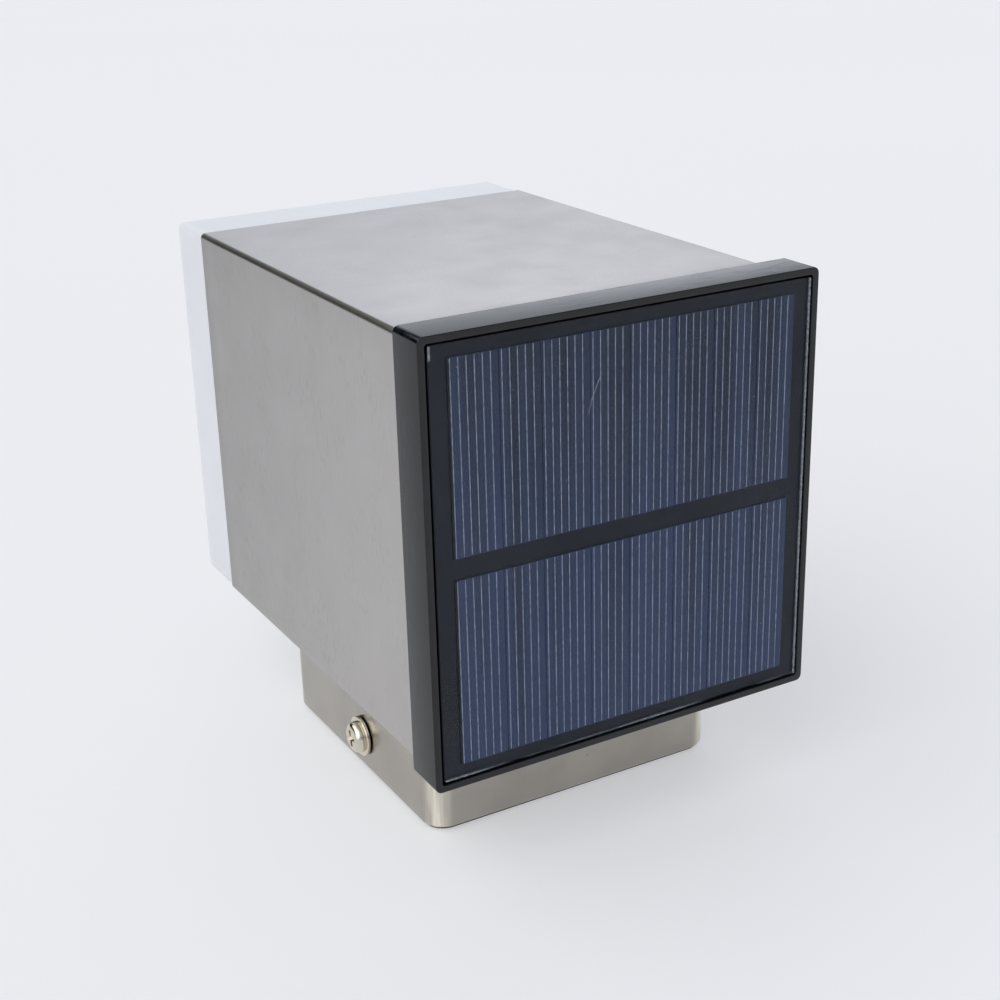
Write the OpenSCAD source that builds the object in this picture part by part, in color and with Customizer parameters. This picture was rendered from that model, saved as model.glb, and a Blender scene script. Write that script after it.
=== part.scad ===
// Square solar wall light. It lies on its wall side: the wall is the plane z = 0, which z points away from.
// The solar head faces -y, which is up when the light hangs, and the diffuser faces +y, which is down.
// The origin is the middle of the wall plate, on the wall.

/* [Solar head] */
// Width of the bezel that frames the panel
bezel_w = 100; // [98:0.5:110]
// Height of the bezel, away from the wall
bezel_h = 102; // [101:0.5:112]
// Depth of the bezel, from its front edge to the body
bezel_d = 10.6; // [8:0.1:16]
// Radius of the bezel's four long corners
bezel_r = 1.5; // [0.8:0.1:2]
// Width of the lip round the panel
lip_w = 1.6; // [1.2:0.1:2.4]
// Thickness of the bezel's floor behind the panel
bezel_floor = 2; // [1.2:0.1:3]
// Length of the spigot that enters the body
spigot_l = 8; // [6:0.5:14]
// Wall of the spigot
spigot_wall = 2; // [1.6:0.1:3]
// Radius of the screw bosses behind the bezel's floor
boss_r = 3.5; // [3:0.1:4.5]
// Thickness of the rubber ring round the spigot
head_seal_t = 1.2; // [1:0.1:1.5]
// Width of the rubber ring round the spigot
head_seal_w = 2; // [1.5:0.1:3]

/* [Solar panel] */
// Gap between the panel's edge and the lip, with the panel in the middle of its pocket
panel_gap = 0.6; // [0.5:0.1:1]
// How far the panel is glued in to the right of the middle
panel_shift = 0.3; // [0:0.1:0.3]
// How far the panel is glued in below the middle
panel_drop = 0.1; // [0:0.1:0.3]
// Depth of the panel's face below the lip
panel_recess = 0.3; // [0.2:0.1:1.2]
// Thickness of the black backing board
board_t = 1.6; // [1:0.1:2.4]
// Thickness of the solar cells
cell_t = 0.3; // [0.2:0.05:0.5]
// Thickness of the clear cover over the cells
cover_t = 0.3; // [0.2:0.1:1]
// Thickness of the glue bed under the board
glue_t = 0.5; // [0.3:0.1:1]
// Width of the glue bed
glue_w = 6; // [4:0.5:9]
// Dark border between the cells and the panel's left and right edges
row_side = 4.19; // [3:0.01:6]
// Dark border between the cells and the panel's top and bottom edges
row_end = 3.05; // [2:0.05:5]
// Dark margin that each cell strip adds to its fingers
strip_margin = 0.7; // [0.4:0.05:0.9]
// Gap between two cell strips
strip_gap = 0.16; // [0.1:0.02:0.3]
// Black band between the two rows
row_gap = 4.9; // [3:0.1:6]
// Radius of the potted joint where the lead leaves the board
junction_r = 3; // [2:0.1:3.4]
// Thickness of the potted joint
junction_t = 1.4; // [1:0.1:2]

/* [Body] */
// Width of the folded steel body
body_w = 95; // [90:0.5:95.5]
// Height of the body, away from the wall
body_h = 99.2; // [94:0.1:100]
// Length of the body behind the bezel
body_l = 114.4; // [112:0.1:130]
// Thickness of the steel sheet
sheet_t = 0.8; // [0.6:0.1:1]
// Outer radius of the folds
bend_r = 1.3; // [1.1:0.1:2]
// Height of the bezel's lowest edge above the wall
standoff = 26; // [24:0.5:34]
// Step from the bezel's lowest edge up to the body
body_step = 0.6; // [0.2:0.1:1.4]
// Distance from the bezel's front to the middle of the wall box
head_reach = 62.5; // [60:0.5:70]

/* [Straps] */
// Thickness of the steel straps across the body
strap_t = 1; // [0.8:0.1:1.5]
// Width of a strap
strap_w = 10; // [9:0.5:12]
// Length of the tab that welds a strap to the body
strap_tab = 8; // [5:0.5:12]
// Distance of each strap from the body's middle
strap_off = 38; // [37:0.5:40]
// Distance of each strap screw from the body's middle
boss_x = 36; // [35:0.5:37]

/* [Wall box] */
// Width of the wall box
box_w = 80; // [76:0.5:84]
// Length of the wall box along the body
box_l = 80; // [76:0.5:84]
// Radius of the wall box's upright corners
box_r = 6; // [4:0.5:9]
// Thickness of the wall box's steel
box_t = 0.8; // [0.6:0.1:1]
// Outer radius of the pressed edge at the wall
box_edge_r = 1.2; // [1.2:0.1:2.4]
// Width of the pressed rim at the wall
box_rim = 5; // [4.6:0.1:6]
// Thickness of the rubber ring under the rim
gasket_t = 0.5; // [0.5:0.1:1.5]
// Width of the rubber ring
gasket_w = 2.4; // [1.5:0.1:2.5]
// Leg of the angles that carry the wall box
angle_leg = 8; // [7:0.5:9]
// Length of the angles
angle_l = 40; // [34:1:50]
// Thickness of the angles
angle_t = 0.8; // [0.6:0.1:1.2]
// Radius of a rivet's shank
rivet_r = 1.6; // [1.2:0.1:1.8]
// Distance of each rivet from the middle
rivet_x = 12; // [10:0.5:14]

/* [Wall plate] */
// Thickness of the wall plate
plate_t = 1.5; // [1.2:0.1:2]
// Length of the wall plate along the body
plate_l = 60; // [54:1:64]
// Gap between the wall plate and the rim of the wall box
plate_gap = 0.3; // [0.2:0.1:0.6]
// Inner radius of the wall plate's bends
plate_bend_r = 1; // [0.6:0.1:1.5]
// Width of the ears that take the clamp screws
ear_w = 16; // [13:0.5:18]
// Metal above the screw in each ear
ear_top = 6; // [4.5:0.5:8]
// Radius of the wall screw holes
wall_hole_r = 2.5; // [2:0.1:3]
// Distance between the two wall screw holes
wall_hole_pitch = 40; // [36:1:42]
// Width of the window in front of the switch
window_w = 26; // [24:1:30]
// Length of the window in front of the switch
window_l = 14; // [12:0.5:16]

/* [Clamp screws] */
// Radius of the clamp screw's thread
clamp_r = 2; // [1.5:0.1:2.1]
// Length of the clamp screw under its head
clamp_l = 16; // [15:0.5:18]
// Radius of the clamp screw's head
clamp_head_r = 4; // [3.5:0.1:4.4]
// Height of the clamp screw's head
clamp_head_h = 2.4; // [2.2:0.1:3.4]
// Radius of the washer
washer_r = 5.1; // [4.6:0.1:5.5]
// Thickness of the washer
washer_t = 0.8; // [0.8:0.1:1.4]
// Gap between the washer and the wall box, as photographed
clamp_gap = 0.3; // [0.3:0.1:1.6]
// Height of the clamp screws above the wall
clamp_z = 9.5; // [9:0.1:11]
// Place of the clamp screws along the body, from the box's middle
clamp_y = -3; // [-4:0.5:3]
// Width of the weld nuts across flats
nut_w = 7; // [6.5:0.1:8]
// Thickness of the weld nuts
nut_t = 3.2; // [2.4:0.1:4]

/* [Switch] */
// Place of the switch along the body
switch_y = 16; // [15:0.5:18]
// Length of the switch's case
switch_w = 13; // [12.6:0.1:13.4]
// Width of the switch's case
switch_d = 6.4; // [6:0.1:7]
// Height of the switch's case
switch_h = 5.5; // [5:0.1:7]
// Travel of the slider
switch_travel = 3; // [2:0.1:3]
// Length of the slider's grip along its travel
grip_w = 3.4; // [2.8:0.1:3.6]
// Thickness of the slider's grip
grip_d = 2.6; // [2:0.1:2.8]
// How far the grip stands out below the body
grip_out = 4; // [2.5:0.1:6]
// Thickness of the rubber seal under the switch
switch_seal_t = 0.6; // [0.4:0.1:1]
// Thickness of the switch's steel flange
flange_t = 0.6; // [0.4:0.1:0.8]
// Distance between the two switch screws
switch_pitch = 19; // [18.4:0.1:20]

/* [Chassis] */
// Thickness of the chassis plate
chassis_t = 2; // [1.6:0.1:3]
// Width of the chassis plate
chassis_w = 82; // [80:1:86]
// Height of the chassis plate
chassis_h = 86; // [84:1:90]
// Radius of the hole for the panel's lead
lead_hole_r = 3.5; // [3:0.1:4]
// Diameter of the battery cell
cell_d = 18.3; // [17.5:0.1:18.6]
// Length of the battery cell
cell_l = 65; // [62:0.5:66]
// Wall of the battery holder
holder_t = 1.5; // [1.2:0.1:2]
// Length of the compressed battery spring
spring_l = 4.5; // [4:0.1:6]
// Radius of the battery spring's base
spring_r = 5; // [4:0.1:6]
// Width of the control board
control_w = 60; // [56:1:62]
// Height of the control board
control_h = 36; // [34:1:37]
// Thickness of the control board
control_t = 1.6; // [1:0.1:2]
// Height of the posts under the control board
post_h = 4; // [3:0.5:6]

/* [Lamp end] */
// How far the diffuser stands out of the body
diffuser_out = 18.3; // [10:0.1:24]
// How far the diffuser's outside lies within the body's
diffuser_step = 0.2; // [0.1:0.1:0.5]
// How far the light tray lies inside the body
tray_in = 12; // [11:0.5:20]
// Wall of the diffuser
diffuser_t = 2; // [1.6:0.1:3]
// Outer radius of the diffuser's edges
diffuser_r = 1.8; // [1:0.1:2.4]
// Thickness of the light tray
tray_t = 1; // [0.8:0.1:1.6]
// Thickness of the rubber ring between diffuser and tray
diffuser_seal_t = 1; // [0.6:0.1:1.6]
// Width of the clips that hold the diffuser
clip_w = 8; // [6:0.5:12]
// Thickness of the clips
clip_t = 1.4; // [1.2:0.1:1.8]
// Side of the square light board
led_board_w = 60; // [54:1:64]
// Thickness of the light board
led_board_t = 1.2; // [1:0.1:2]
// Distance between two light chips
led_pitch = 14; // [12:0.5:15]
// Height of a light chip
led_h = 0.7; // [0.5:0.1:1]

/* [Small parts] */
// Radius of the internal screws' threads
screw_r = 1.5; // [1.2:0.1:1.6]
// Radius of the internal screws' heads
screw_head_r = 2.8; // [2.5:0.1:3]
// Height of the internal screws' heads
screw_head_h = 1.8; // [1.4:0.1:2.4]
// Radius of the switch's and control board's screws
small_screw_r = 1; // [0.8:0.05:1.1]
// Radius of the internal leads
lead_r = 1.1; // [0.8:0.1:1.3]
// Clearance between parts that slide into each other
slip = 0.3; // [0.2:0.05:0.4]
// Clearance round a thread or a shank
thread_gap = 0.05; // [0.03:0.01:0.08]

/* [Hidden] */
$fn = 48;
// Overshoot of a cut beyond the face that it opens
cut = 1;

// Planes along the body
y_front = -head_reach;
y_body = y_front + bezel_d;
y_rear = y_body + body_l;
y_cover = y_front + panel_recess;
y_cells = y_cover + cover_t;
y_board = y_cells + cell_t;
y_glue = y_board + board_t;
y_floor = y_glue + glue_t;
y_floor_back = y_floor + bezel_floor;
// Free length between the spigot and the straps
strap_free = 1;
y_strap = y_body + spigot_l + strap_free;
y_chassis = y_strap + strap_t;
y_chassis_back = y_chassis + chassis_t;
y_tray = y_rear - tray_in;

// Heights above the wall
z_head = standoff + bezel_h / 2;
z_panel = z_head - panel_drop;
z_body = standoff + body_step;
z_core = z_body + body_h / 2;
z_deck = z_body + sheet_t;

// Sizes inside the body
in_w = body_w - 2 * sheet_t;
in_h = body_h - 2 * sheet_t;
plug_w = in_w - 2 * slip;
plug_h = in_h - 2 * slip;
plug_r = max(bend_r - sheet_t, 0.3);
panel_w = bezel_w - 2 * (lip_w + panel_gap);
panel_h = bezel_h - 2 * (lip_w + panel_gap);

// Number of fingers on each cell strip of a row
strip_fingers = [6, 5, 6, 5, 6, 5, 6, 5];
fingers = strip_fingers * [for (n = strip_fingers) 1];
row_w = panel_w - 2 * row_side;
row_h = panel_h / 2 - row_end - row_gap / 2;
finger_pitch = (row_w - len(strip_fingers) * strip_margin) / fingers;
function strip_w(i) = strip_fingers[i] * finger_pitch + strip_margin;
function strip_x(i) = i == 0 ? 0 : strip_x(i - 1) + strip_w(i - 1);

// Wall box and wall plate
box_in_w = box_w - 2 * box_t;
box_in_l = box_l - 2 * box_t;
mouth_w = box_w - 2 * box_rim;
mouth_l = box_l - 2 * box_rim;
mouth_r = 3;
plate_x = mouth_w / 2 - plate_gap;
plate_flat = plate_x - plate_bend_r - plate_t;
plate_corner_r = 3;
window_r = 2;
rivet_y = box_in_l / 2 - angle_t - (angle_leg - angle_t) / 2;
rivet_head_r = rivet_r * 1.9;
rivet_head_top_r = rivet_head_r * 0.6;
rivet_head_h = 0.9;
rivet_tail_r = rivet_r * 1.5;
rivet_tail_h = 1.4;
clamp_hole_r = clamp_r + slip;
washer_x = box_w / 2 + clamp_gap;
clamp_head_x = washer_x + washer_t;
nut_x = plate_x - plate_t - nut_t;
cross_w = 1.2;
cross_l = 5.6;
cross_depth = 1.6;

// Switch
switch_z = z_deck + switch_seal_t + flange_t;
flange_end = 3;
flange_w = switch_pitch + 2 * flange_end;
foot_lip_w = 1.1;
foot_lip_d = 0.5;
slider_foot_w = grip_w + 2 * foot_lip_w;
slider_foot_d = grip_d + 2 * foot_lip_d;
slider_foot_h = 1.6;
slot_w = grip_w + switch_travel + 2 * slip;
slot_d = grip_d + 2 * slip;
terminal_pitch = 3;
terminal_h = 2.5;
terminal_w = 0.8;
terminal_t = 0.5;
small_head_r = small_screw_r * 1.9;
small_head_h = 1.1;

// Internal screws: the top of a head and its cross recess as shares of its radius and of the thread's
head_top = 0.75;
recess_reach = 1.1;
recess_width = 0.4;
// Share of a boss that its screw fills
boss_fill = 0.7;
// How far the tray's and the light board's screws stand out behind what they hold
tray_screw_end = 4;
led_screw_end = 2;

// Battery
// Height of the battery's middle above the body's middle
holder_rise = 18;
holder_z = z_core + holder_rise;
spring_wire_r = 0.4;
contact_t = 0.5;
contact_w = 12;
nub_r = 3;
nub_l = 1.2;
holder_in_l = contact_t + spring_l + cell_l + nub_l + contact_t;
holder_l = holder_in_l + 2 * holder_t;
holder_in_h = cell_d + 2 * slip;
holder_h = holder_in_h + 2 * holder_t;
// Share of the cell's diameter that the holder reaches round
holder_hug = 0.9;
holder_depth = holder_t + cell_d * holder_hug;
holder_tab = 7.4;
holder_tab_w = 10;
holder_tab_x = 22;
cell_x = -holder_in_l / 2 + contact_t + spring_l;
cell_gap = 0.1;
cell_y = y_chassis_back + holder_t + cell_gap + cell_d / 2;

// Control board
// Depth of the board's middle below the body's middle
control_drop = 22;
control_z = z_core - control_drop;
y_control = y_chassis_back + post_h;
y_control_back = y_control + control_t;
post_r = 2.5;
post_inset = 3;
// What stands on the board, with its size and its place from the board's middle
chip_size = [5, 1.6, 4];
chip_at = [-5, -8];
diode_size = [4.4, 2.2, 2.6];
diode_at = [-20, -6];
diode_pitch = 7;
choke_r = 4;
choke_h = 5;
choke_at = [10, -6];
capacitor_r = 3.15;
capacitor_h = 7.7;
capacitor_at = [20, -6];
plug_size = [6, 6, 4.8];
plug_pitch = 14;
plug_x = [for (i = [0 : 3]) (i - 1.5) * plug_pitch];
plug_z = control_z + control_h / 2 - post_inset - small_head_r - slip - plug_size.z / 2;
y_plug = y_control_back + plug_size.y;

// Light tray and diffuser
y_led = y_tray + tray_t;
y_led_back = y_led + led_board_t;
y_skirt = y_tray + tray_t + diffuser_seal_t;
y_face = y_rear + diffuser_out;
// Each clip grows out of the diffuser's wall, runs through the tray and catches behind it
clip_root = 6;
clip_free = 3;
clip_catch = 0.8;
clip_catch_l = 1.6;
y_catch = y_tray - slip;
led_size = [3.5, 2.8];
led_cols = 4;
led_rows = 3;
led_screw_at = led_board_w / 2 - 4;
led_hole_x = led_board_w / 2 + 5;
// The lead is soldered between two rows of chips
pad_x = led_board_w / 2 - 4;
pad_z = z_core - led_pitch / 2;

// The panel's lead passes the bezel and the chassis inside the glue bed, with metal left beside its hole
lead_to_glue = 2.7;
lead_to_edge = 1.5;
panel_lead_x = -min(panel_w / 2 - panel_shift - glue_w - junction_r - lead_to_glue,
    chassis_w / 2 - lead_hole_r - lead_to_edge);
panel_lead_z = z_core - 14;

// Points that the leads pass, chosen by hand between what each lead joins
panel_route = [
    [panel_lead_x, y_glue + junction_t, panel_lead_z],
    [panel_lead_x, y_glue + junction_t + 5, panel_lead_z],
    [panel_lead_x, y_chassis, panel_lead_z],
    [panel_lead_x, y_plug - 2, panel_lead_z],
    [panel_lead_x + 5, y_plug + 5, (panel_lead_z + plug_z) / 2],
    [plug_x[0] - 2, y_plug + 6, plug_z],
    [plug_x[0], y_plug + 3, plug_z],
    [plug_x[0], y_plug, plug_z]];
battery_route = [
    [-holder_l / 2, cell_y, holder_z],
    [-holder_l / 2 - 2.5, cell_y, holder_z],
    [-holder_l / 2 - 4.5, cell_y + 1, holder_z - 5],
    [-holder_l / 2 - 3, cell_y + 3, holder_z - holder_h / 2 - 3],
    [-holder_l / 2 + 8, y_plug + 8, holder_z - holder_h / 2 - 7],
    [plug_x[1] - 8, y_plug + 9, plug_z + 3],
    [plug_x[1] - 1, y_plug + 6, plug_z],
    [plug_x[1], y_plug + 3, plug_z],
    [plug_x[1], y_plug, plug_z]];
led_route = [
    [plug_x[2], y_plug, plug_z],
    [plug_x[2], y_plug + 3, plug_z],
    [plug_x[2] + 4, y_plug + 14, plug_z - 4],
    [plug_x[2] + 12, (y_plug + y_tray) / 2 - 6, pad_z - 8],
    [led_hole_x - 6, y_tray - 20, pad_z - 4],
    [led_hole_x, y_tray - 8, pad_z],
    [led_hole_x, y_tray - 3, pad_z],
    [led_hole_x, y_led + 1, pad_z],
    [led_hole_x - 2, y_led_back + 5, pad_z],
    [pad_x, y_led_back + 3, pad_z],
    [pad_x, y_led_back, pad_z]];
z_wire = switch_z + switch_h + terminal_h;
switch_route = [
    [plug_x[3], y_plug, plug_z],
    [plug_x[3], y_plug + 3, plug_z],
    [plug_x[3] - 1, y_plug + 12, plug_z - 5],
    [plug_x[3] - 8, y_plug + 24, (plug_z + z_wire) / 2],
    [4, switch_y - 4, z_wire + 9],
    [0, switch_y, z_wire + 3],
    [0, switch_y, z_wire]];

// Shapes that more than one piece uses

// A rectangle with round corners, centred
module round_rect(w, h, r) {
    square([w - 2 * r, h], center = true);
    square([w, h - 2 * r], center = true);
    for (sx = [-1, 1], sz = [-1, 1])
        translate([sx * (w / 2 - r), sz * (h / 2 - r)]) circle(r);
}

// Extrudes a shape that is the same above and below its middle from y0 to y1, with its middle at height z
module along_y(y0, y1, z) {
    translate([0, y0, z]) rotate([-90, 0, 0]) linear_extrude(y1 - y0) children();
}

// Cylinder along y, centred on x and z
module rod_y(x, z, y0, y1, r) {
    translate([x, y0, z]) rotate([-90, 0, 0]) cylinder(r = r, h = y1 - y0);
}

// Cylinder along x, centred on y and z
module rod_x(y, z, x0, x1, r) {
    translate([x0, y, z]) rotate([0, 90, 0]) cylinder(r = r, h = x1 - x0);
}

// Block from one corner to the other
module block(a, b) {
    translate(a) cube(b - a);
}

// Pan-head screw along y: its head stands on y_seat, and its thread runs from there by l, to -y
module pan_screw_y(x, z, y_seat, l, r, head_r, head_h) {
    rod_y(x, z, y_seat - l, y_seat + head_h / 2, r);
    difference() {
        translate([x, y_seat, z]) rotate([-90, 0, 0])
            cylinder(r1 = head_r, r2 = head_r * head_top, h = head_h);
        for (a = [0, 90])
            translate([x, y_seat + head_h, z]) rotate([0, a, 0])
                cube([head_r * recess_reach, head_h, r * recess_width], center = true);
    }
}

// Places its child at the four strap screws
module at_straps() {
    for (sx = [-1, 1], sz = [-1, 1])
        translate([sx * boss_x, 0, z_core + sz * strap_off]) children();
}

// Leads: a tube of eight sides along a smooth curve through chosen points, straight over the first
// and the last stretch, so that its ends are square to what they meet
function unit(v) = v / norm(v);
function curve_point(a, b, c, d, t) =
    0.5 * (2 * b + (c - a) * t + (2 * a - 5 * b + 4 * c - d) * t * t + (3 * b - a - 3 * c + d) * t * t * t);
function route(p, steps) = concat([for (i = [1 : len(p) - 3], k = [0 : steps - 1])
    curve_point(p[i - 1], p[i], p[i + 1], p[i + 2], k / steps)], [p[len(p) - 2]]);
function tangent(p, i) = unit(p[min(i + 1, len(p) - 1)] - p[max(i - 1, 0)]);
function across(v, t) = unit(v - (v * t) * t);
function turned(p, i, v) = i == len(p) ? [] :
    let (n = across(v, tangent(p, i))) concat([n], turned(p, i + 1, n));

module lead(points, start_side) {
    sides = 8;
    p = concat([points[0]], route(points, 3), [points[len(points) - 1]]);
    n = turned(p, 0, start_side);
    rings = [for (i = [0 : len(p) - 1], k = [0 : sides - 1])
        let (b = cross(tangent(p, i), n[i]), a = 360 * k / sides)
        p[i] + lead_r * (n[i] * cos(a) + b * sin(a))];
    last = (len(p) - 1) * sides;
    walls = [for (i = [0 : len(p) - 2], k = [0 : sides - 1])
        let (a = i * sides + k, b = i * sides + (k + 1) % sides)
        each [[a, b + sides, b], [a, a + sides, b + sides]]];
    start = [for (k = [1 : sides - 2]) [0, k, k + 1]];
    end = [for (k = [1 : sides - 2]) [last, last + k + 1, last + k]];
    polyhedron(rings, concat(walls, start, end));
}

// Steel body

module body_shell() {
    color("silver") difference() {
        along_y(y_body, y_rear, z_core) round_rect(body_w, body_h, bend_r);
        along_y(y_body - cut, y_rear + cut, z_core) round_rect(in_w, in_h, plug_r);
        for (sx = [-1, 1], sy = [-1, 1])
            translate([sx * rivet_x, sy * rivet_y, z_body - cut])
                cylinder(r = rivet_r + thread_gap, h = sheet_t + 2 * cut);
        for (sx = [-1, 1])
            translate([sx * switch_pitch / 2, switch_y, z_body - cut])
                cylinder(r = small_screw_r + thread_gap, h = sheet_t + 2 * cut);
        translate([0, switch_y, z_deck - sheet_t / 2])
            cube([slot_w, slot_d, sheet_t + 2 * cut], center = true);
    }
}

// One strap with a tab at each end, turned towards dir
module strap(y, dir, sz) {
    z = z_core + sz * strap_off;
    difference() {
        union() {
            block([-in_w / 2, y, z - strap_w / 2], [in_w / 2, y + strap_t, z + strap_w / 2]);
            for (sx = [-1, 1])
                translate([sx * (in_w - strap_t) / 2, y + strap_t / 2 + dir * strap_tab / 2, z])
                    cube([strap_t, strap_tab + strap_t, strap_w], center = true);
        }
        for (sx = [-1, 1])
            rod_y(sx * boss_x, z, y - cut, y + strap_t + cut, screw_r + thread_gap);
    }
}

module front_straps() {
    color("lightgray") for (sz = [-1, 1]) strap(y_strap, 1, sz);
}

module rear_straps() {
    color("lightgray") for (sz = [-1, 1]) strap(y_tray - strap_t, -1, sz);
}

// Wall box

// Block with round uprights whose edge at z0 is rounded too
module pressed_block(w, l, z0, z1, r, edge_r) {
    translate([0, 0, z0 + edge_r]) linear_extrude(z1 - z0 - edge_r) round_rect(w, l, r);
    translate([0, 0, z0]) linear_extrude(2 * edge_r)
        round_rect(w - 2 * edge_r, l - 2 * edge_r, r - edge_r);
    for (sx = [-1, 1], sy = [-1, 1])
        translate([sx * (w / 2 - r), sy * (l / 2 - r), z0 + edge_r])
            rotate_extrude() translate([r - edge_r, 0]) circle(edge_r);
    for (sx = [-1, 1])
        translate([sx * (w / 2 - edge_r), 0, z0 + edge_r]) rotate([90, 0, 0])
            cylinder(r = edge_r, h = l - 2 * r, center = true);
    for (sy = [-1, 1])
        translate([0, sy * (l / 2 - edge_r), z0 + edge_r]) rotate([0, 90, 0])
            cylinder(r = edge_r, h = w - 2 * r, center = true);
}

module wall_box() {
    color("silver") difference() {
        pressed_block(box_w, box_l, gasket_t, z_body, box_r, box_edge_r);
        pressed_block(box_in_w, box_in_l, gasket_t + box_t, z_body + cut,
            box_r - box_t, box_edge_r - box_t);
        translate([0, 0, gasket_t - cut]) linear_extrude(box_t + 2 * cut)
            round_rect(mouth_w, mouth_l, mouth_r);
        rod_x(clamp_y, clamp_z, -box_w / 2 - cut, box_w / 2 + cut, clamp_hole_r);
    }
}

module box_angles() {
    color("lightgray") for (sy = [-1, 1]) difference() {
        union() {
            translate([0, sy * (box_in_l - angle_t) / 2, z_body - angle_leg / 2])
                cube([angle_l, angle_t, angle_leg], center = true);
            translate([0, sy * (box_in_l - angle_leg) / 2, z_body - angle_t / 2])
                cube([angle_l, angle_leg, angle_t], center = true);
        }
        for (sx = [-1, 1])
            translate([sx * rivet_x, sy * rivet_y, z_body - angle_t - cut])
                cylinder(r = rivet_r + thread_gap, h = angle_t + 2 * cut);
    }
}

module box_rivets() {
    color("gainsboro") for (sx = [-1, 1], sy = [-1, 1])
        translate([sx * rivet_x, sy * rivet_y, 0]) {
            z0 = z_body - angle_t;
            translate([0, 0, z0 - rivet_head_h])
                cylinder(r1 = rivet_head_top_r, r2 = rivet_head_r, h = rivet_head_h);
            translate([0, 0, z0 - rivet_head_h / 2])
                cylinder(r = rivet_r, h = z_deck - z0 + rivet_head_h);
            translate([0, 0, z_deck]) cylinder(r = rivet_tail_r, h = rivet_tail_h);
        }
}

module wall_gasket() {
    outer_w = box_w - 2 * box_edge_r;
    outer_l = box_l - 2 * box_edge_r;
    r = box_r - box_edge_r;
    color("#1c1c1e") linear_extrude(gasket_t) difference() {
        round_rect(outer_w, outer_l, r);
        round_rect(outer_w - 2 * gasket_w, outer_l - 2 * gasket_w, r - gasket_w / 2);
    }
}

// Wall plate and clamp screws

module wall_plate() {
    bend = plate_bend_r + plate_t;
    color("#9a9da0") difference() {
        union() {
            linear_extrude(plate_t) round_rect(2 * plate_flat, plate_l, plate_corner_r);
            for (sx = [-1, 1]) {
                translate([sx * (plate_x - plate_t / 2), clamp_y, (bend + clamp_z + ear_top) / 2])
                    cube([plate_t, ear_w, clamp_z + ear_top - bend], center = true);
                translate([sx * plate_flat, clamp_y, bend]) intersection() {
                    rotate([90, 0, 0]) difference() {
                        cylinder(r = bend, h = ear_w, center = true);
                        cylinder(r = plate_bend_r, h = ear_w + cut, center = true);
                    }
                    translate([sx * bend / 2, 0, -bend / 2]) cube([bend, ear_w + cut, bend], center = true);
                }
            }
        }
        for (sx = [-1, 1])
            translate([sx * wall_hole_pitch / 2, 0, -cut])
                cylinder(r = wall_hole_r, h = plate_t + 2 * cut);
        translate([0, switch_y, -cut]) linear_extrude(plate_t + 2 * cut)
            round_rect(window_w, window_l, window_r);
        rod_x(clamp_y, clamp_z, -plate_x - cut, plate_x + cut, clamp_r + slip / 2);
    }
}

module weld_nuts() {
    color("#b4b4ae") for (sx = [0, 1]) mirror([sx, 0, 0]) difference() {
        translate([nut_x, clamp_y, clamp_z]) rotate([0, 90, 0])
            cylinder(d = nut_w / cos(30), h = nut_t, $fn = 6);
        rod_x(clamp_y, clamp_z, nut_x - cut, nut_x + nut_t + cut, clamp_r + thread_gap);
    }
}

// Clamp screw on the +x side, with a domed head and a cross recess
module clamp_screw() {
    // A little flatter than a full cap, so that the head keeps a short upright rim
    dome_r = 1.05 * (clamp_head_r * clamp_head_r + clamp_head_h * clamp_head_h) / (2 * clamp_head_h);
    translate([clamp_head_x, clamp_y, clamp_z]) rotate([0, 90, 0]) {
        translate([0, 0, -clamp_l]) cylinder(r = clamp_r, h = clamp_l + clamp_head_h / 4);
        difference() {
            rotate_extrude() intersection() {
                square([clamp_head_r, clamp_head_h]);
                translate([0, clamp_head_h - dome_r]) circle(dome_r);
            }
            for (a = [0, 90])
                translate([0, 0, clamp_head_h]) rotate([0, 0, a])
                    cube([cross_l, cross_w, 2 * cross_depth], center = true);
        }
    }
}

module clamp_washer() {
    difference() {
        rod_x(clamp_y, clamp_z, washer_x, washer_x + washer_t, washer_r);
        rod_x(clamp_y, clamp_z, washer_x - cut, washer_x + washer_t + cut, clamp_r + slip / 2);
    }
}

module right_clamp_screw() { color("#d8d4c6") clamp_screw(); }
module left_clamp_screw() { color("#d8d4c6") mirror([1, 0, 0]) clamp_screw(); }
module right_clamp_washer() { color("#d8d4c6") clamp_washer(); }
module left_clamp_washer() { color("#d8d4c6") mirror([1, 0, 0]) clamp_washer(); }

// Solar head

module solar_bezel() {
    open_w = bezel_w - 2 * lip_w;
    open_h = bezel_h - 2 * lip_w;
    open_r = max(bezel_r - lip_w / 2, 0.4);
    y_end = y_body + spigot_l;
    y_seal = y_body + (spigot_l - head_seal_w) / 2;
    groove = plug_w - 2 * (head_seal_t - slip);
    groove_h = plug_h - 2 * (head_seal_t - slip);
    color("#26282b") {
        difference() {
            union() {
                along_y(y_front, y_body, z_head) round_rect(bezel_w, bezel_h, bezel_r);
                along_y(y_body - cut, y_end, z_core) round_rect(plug_w, plug_h, plug_r);
            }
            along_y(y_front - cut, y_floor, z_head) round_rect(open_w, open_h, open_r);
            along_y(y_floor_back, y_end + cut, z_core)
                square([plug_w - 2 * spigot_wall, plug_h - 2 * spigot_wall], center = true);
            rod_y(panel_lead_x, panel_lead_z, y_floor - cut, y_floor_back + cut, lead_hole_r);
            along_y(y_seal, y_seal + head_seal_w, z_core) difference() {
                square([plug_w + 2 * cut, plug_h + 2 * cut], center = true);
                square([groove, groove_h], center = true);
            }
        }
        at_straps() difference() {
            rod_y(0, 0, y_floor_back - bezel_floor / 2, y_strap, boss_r);
            rod_y(0, 0, y_floor_back + bezel_floor / 2, y_strap + cut, screw_r + thread_gap);
        }
    }
}

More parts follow.
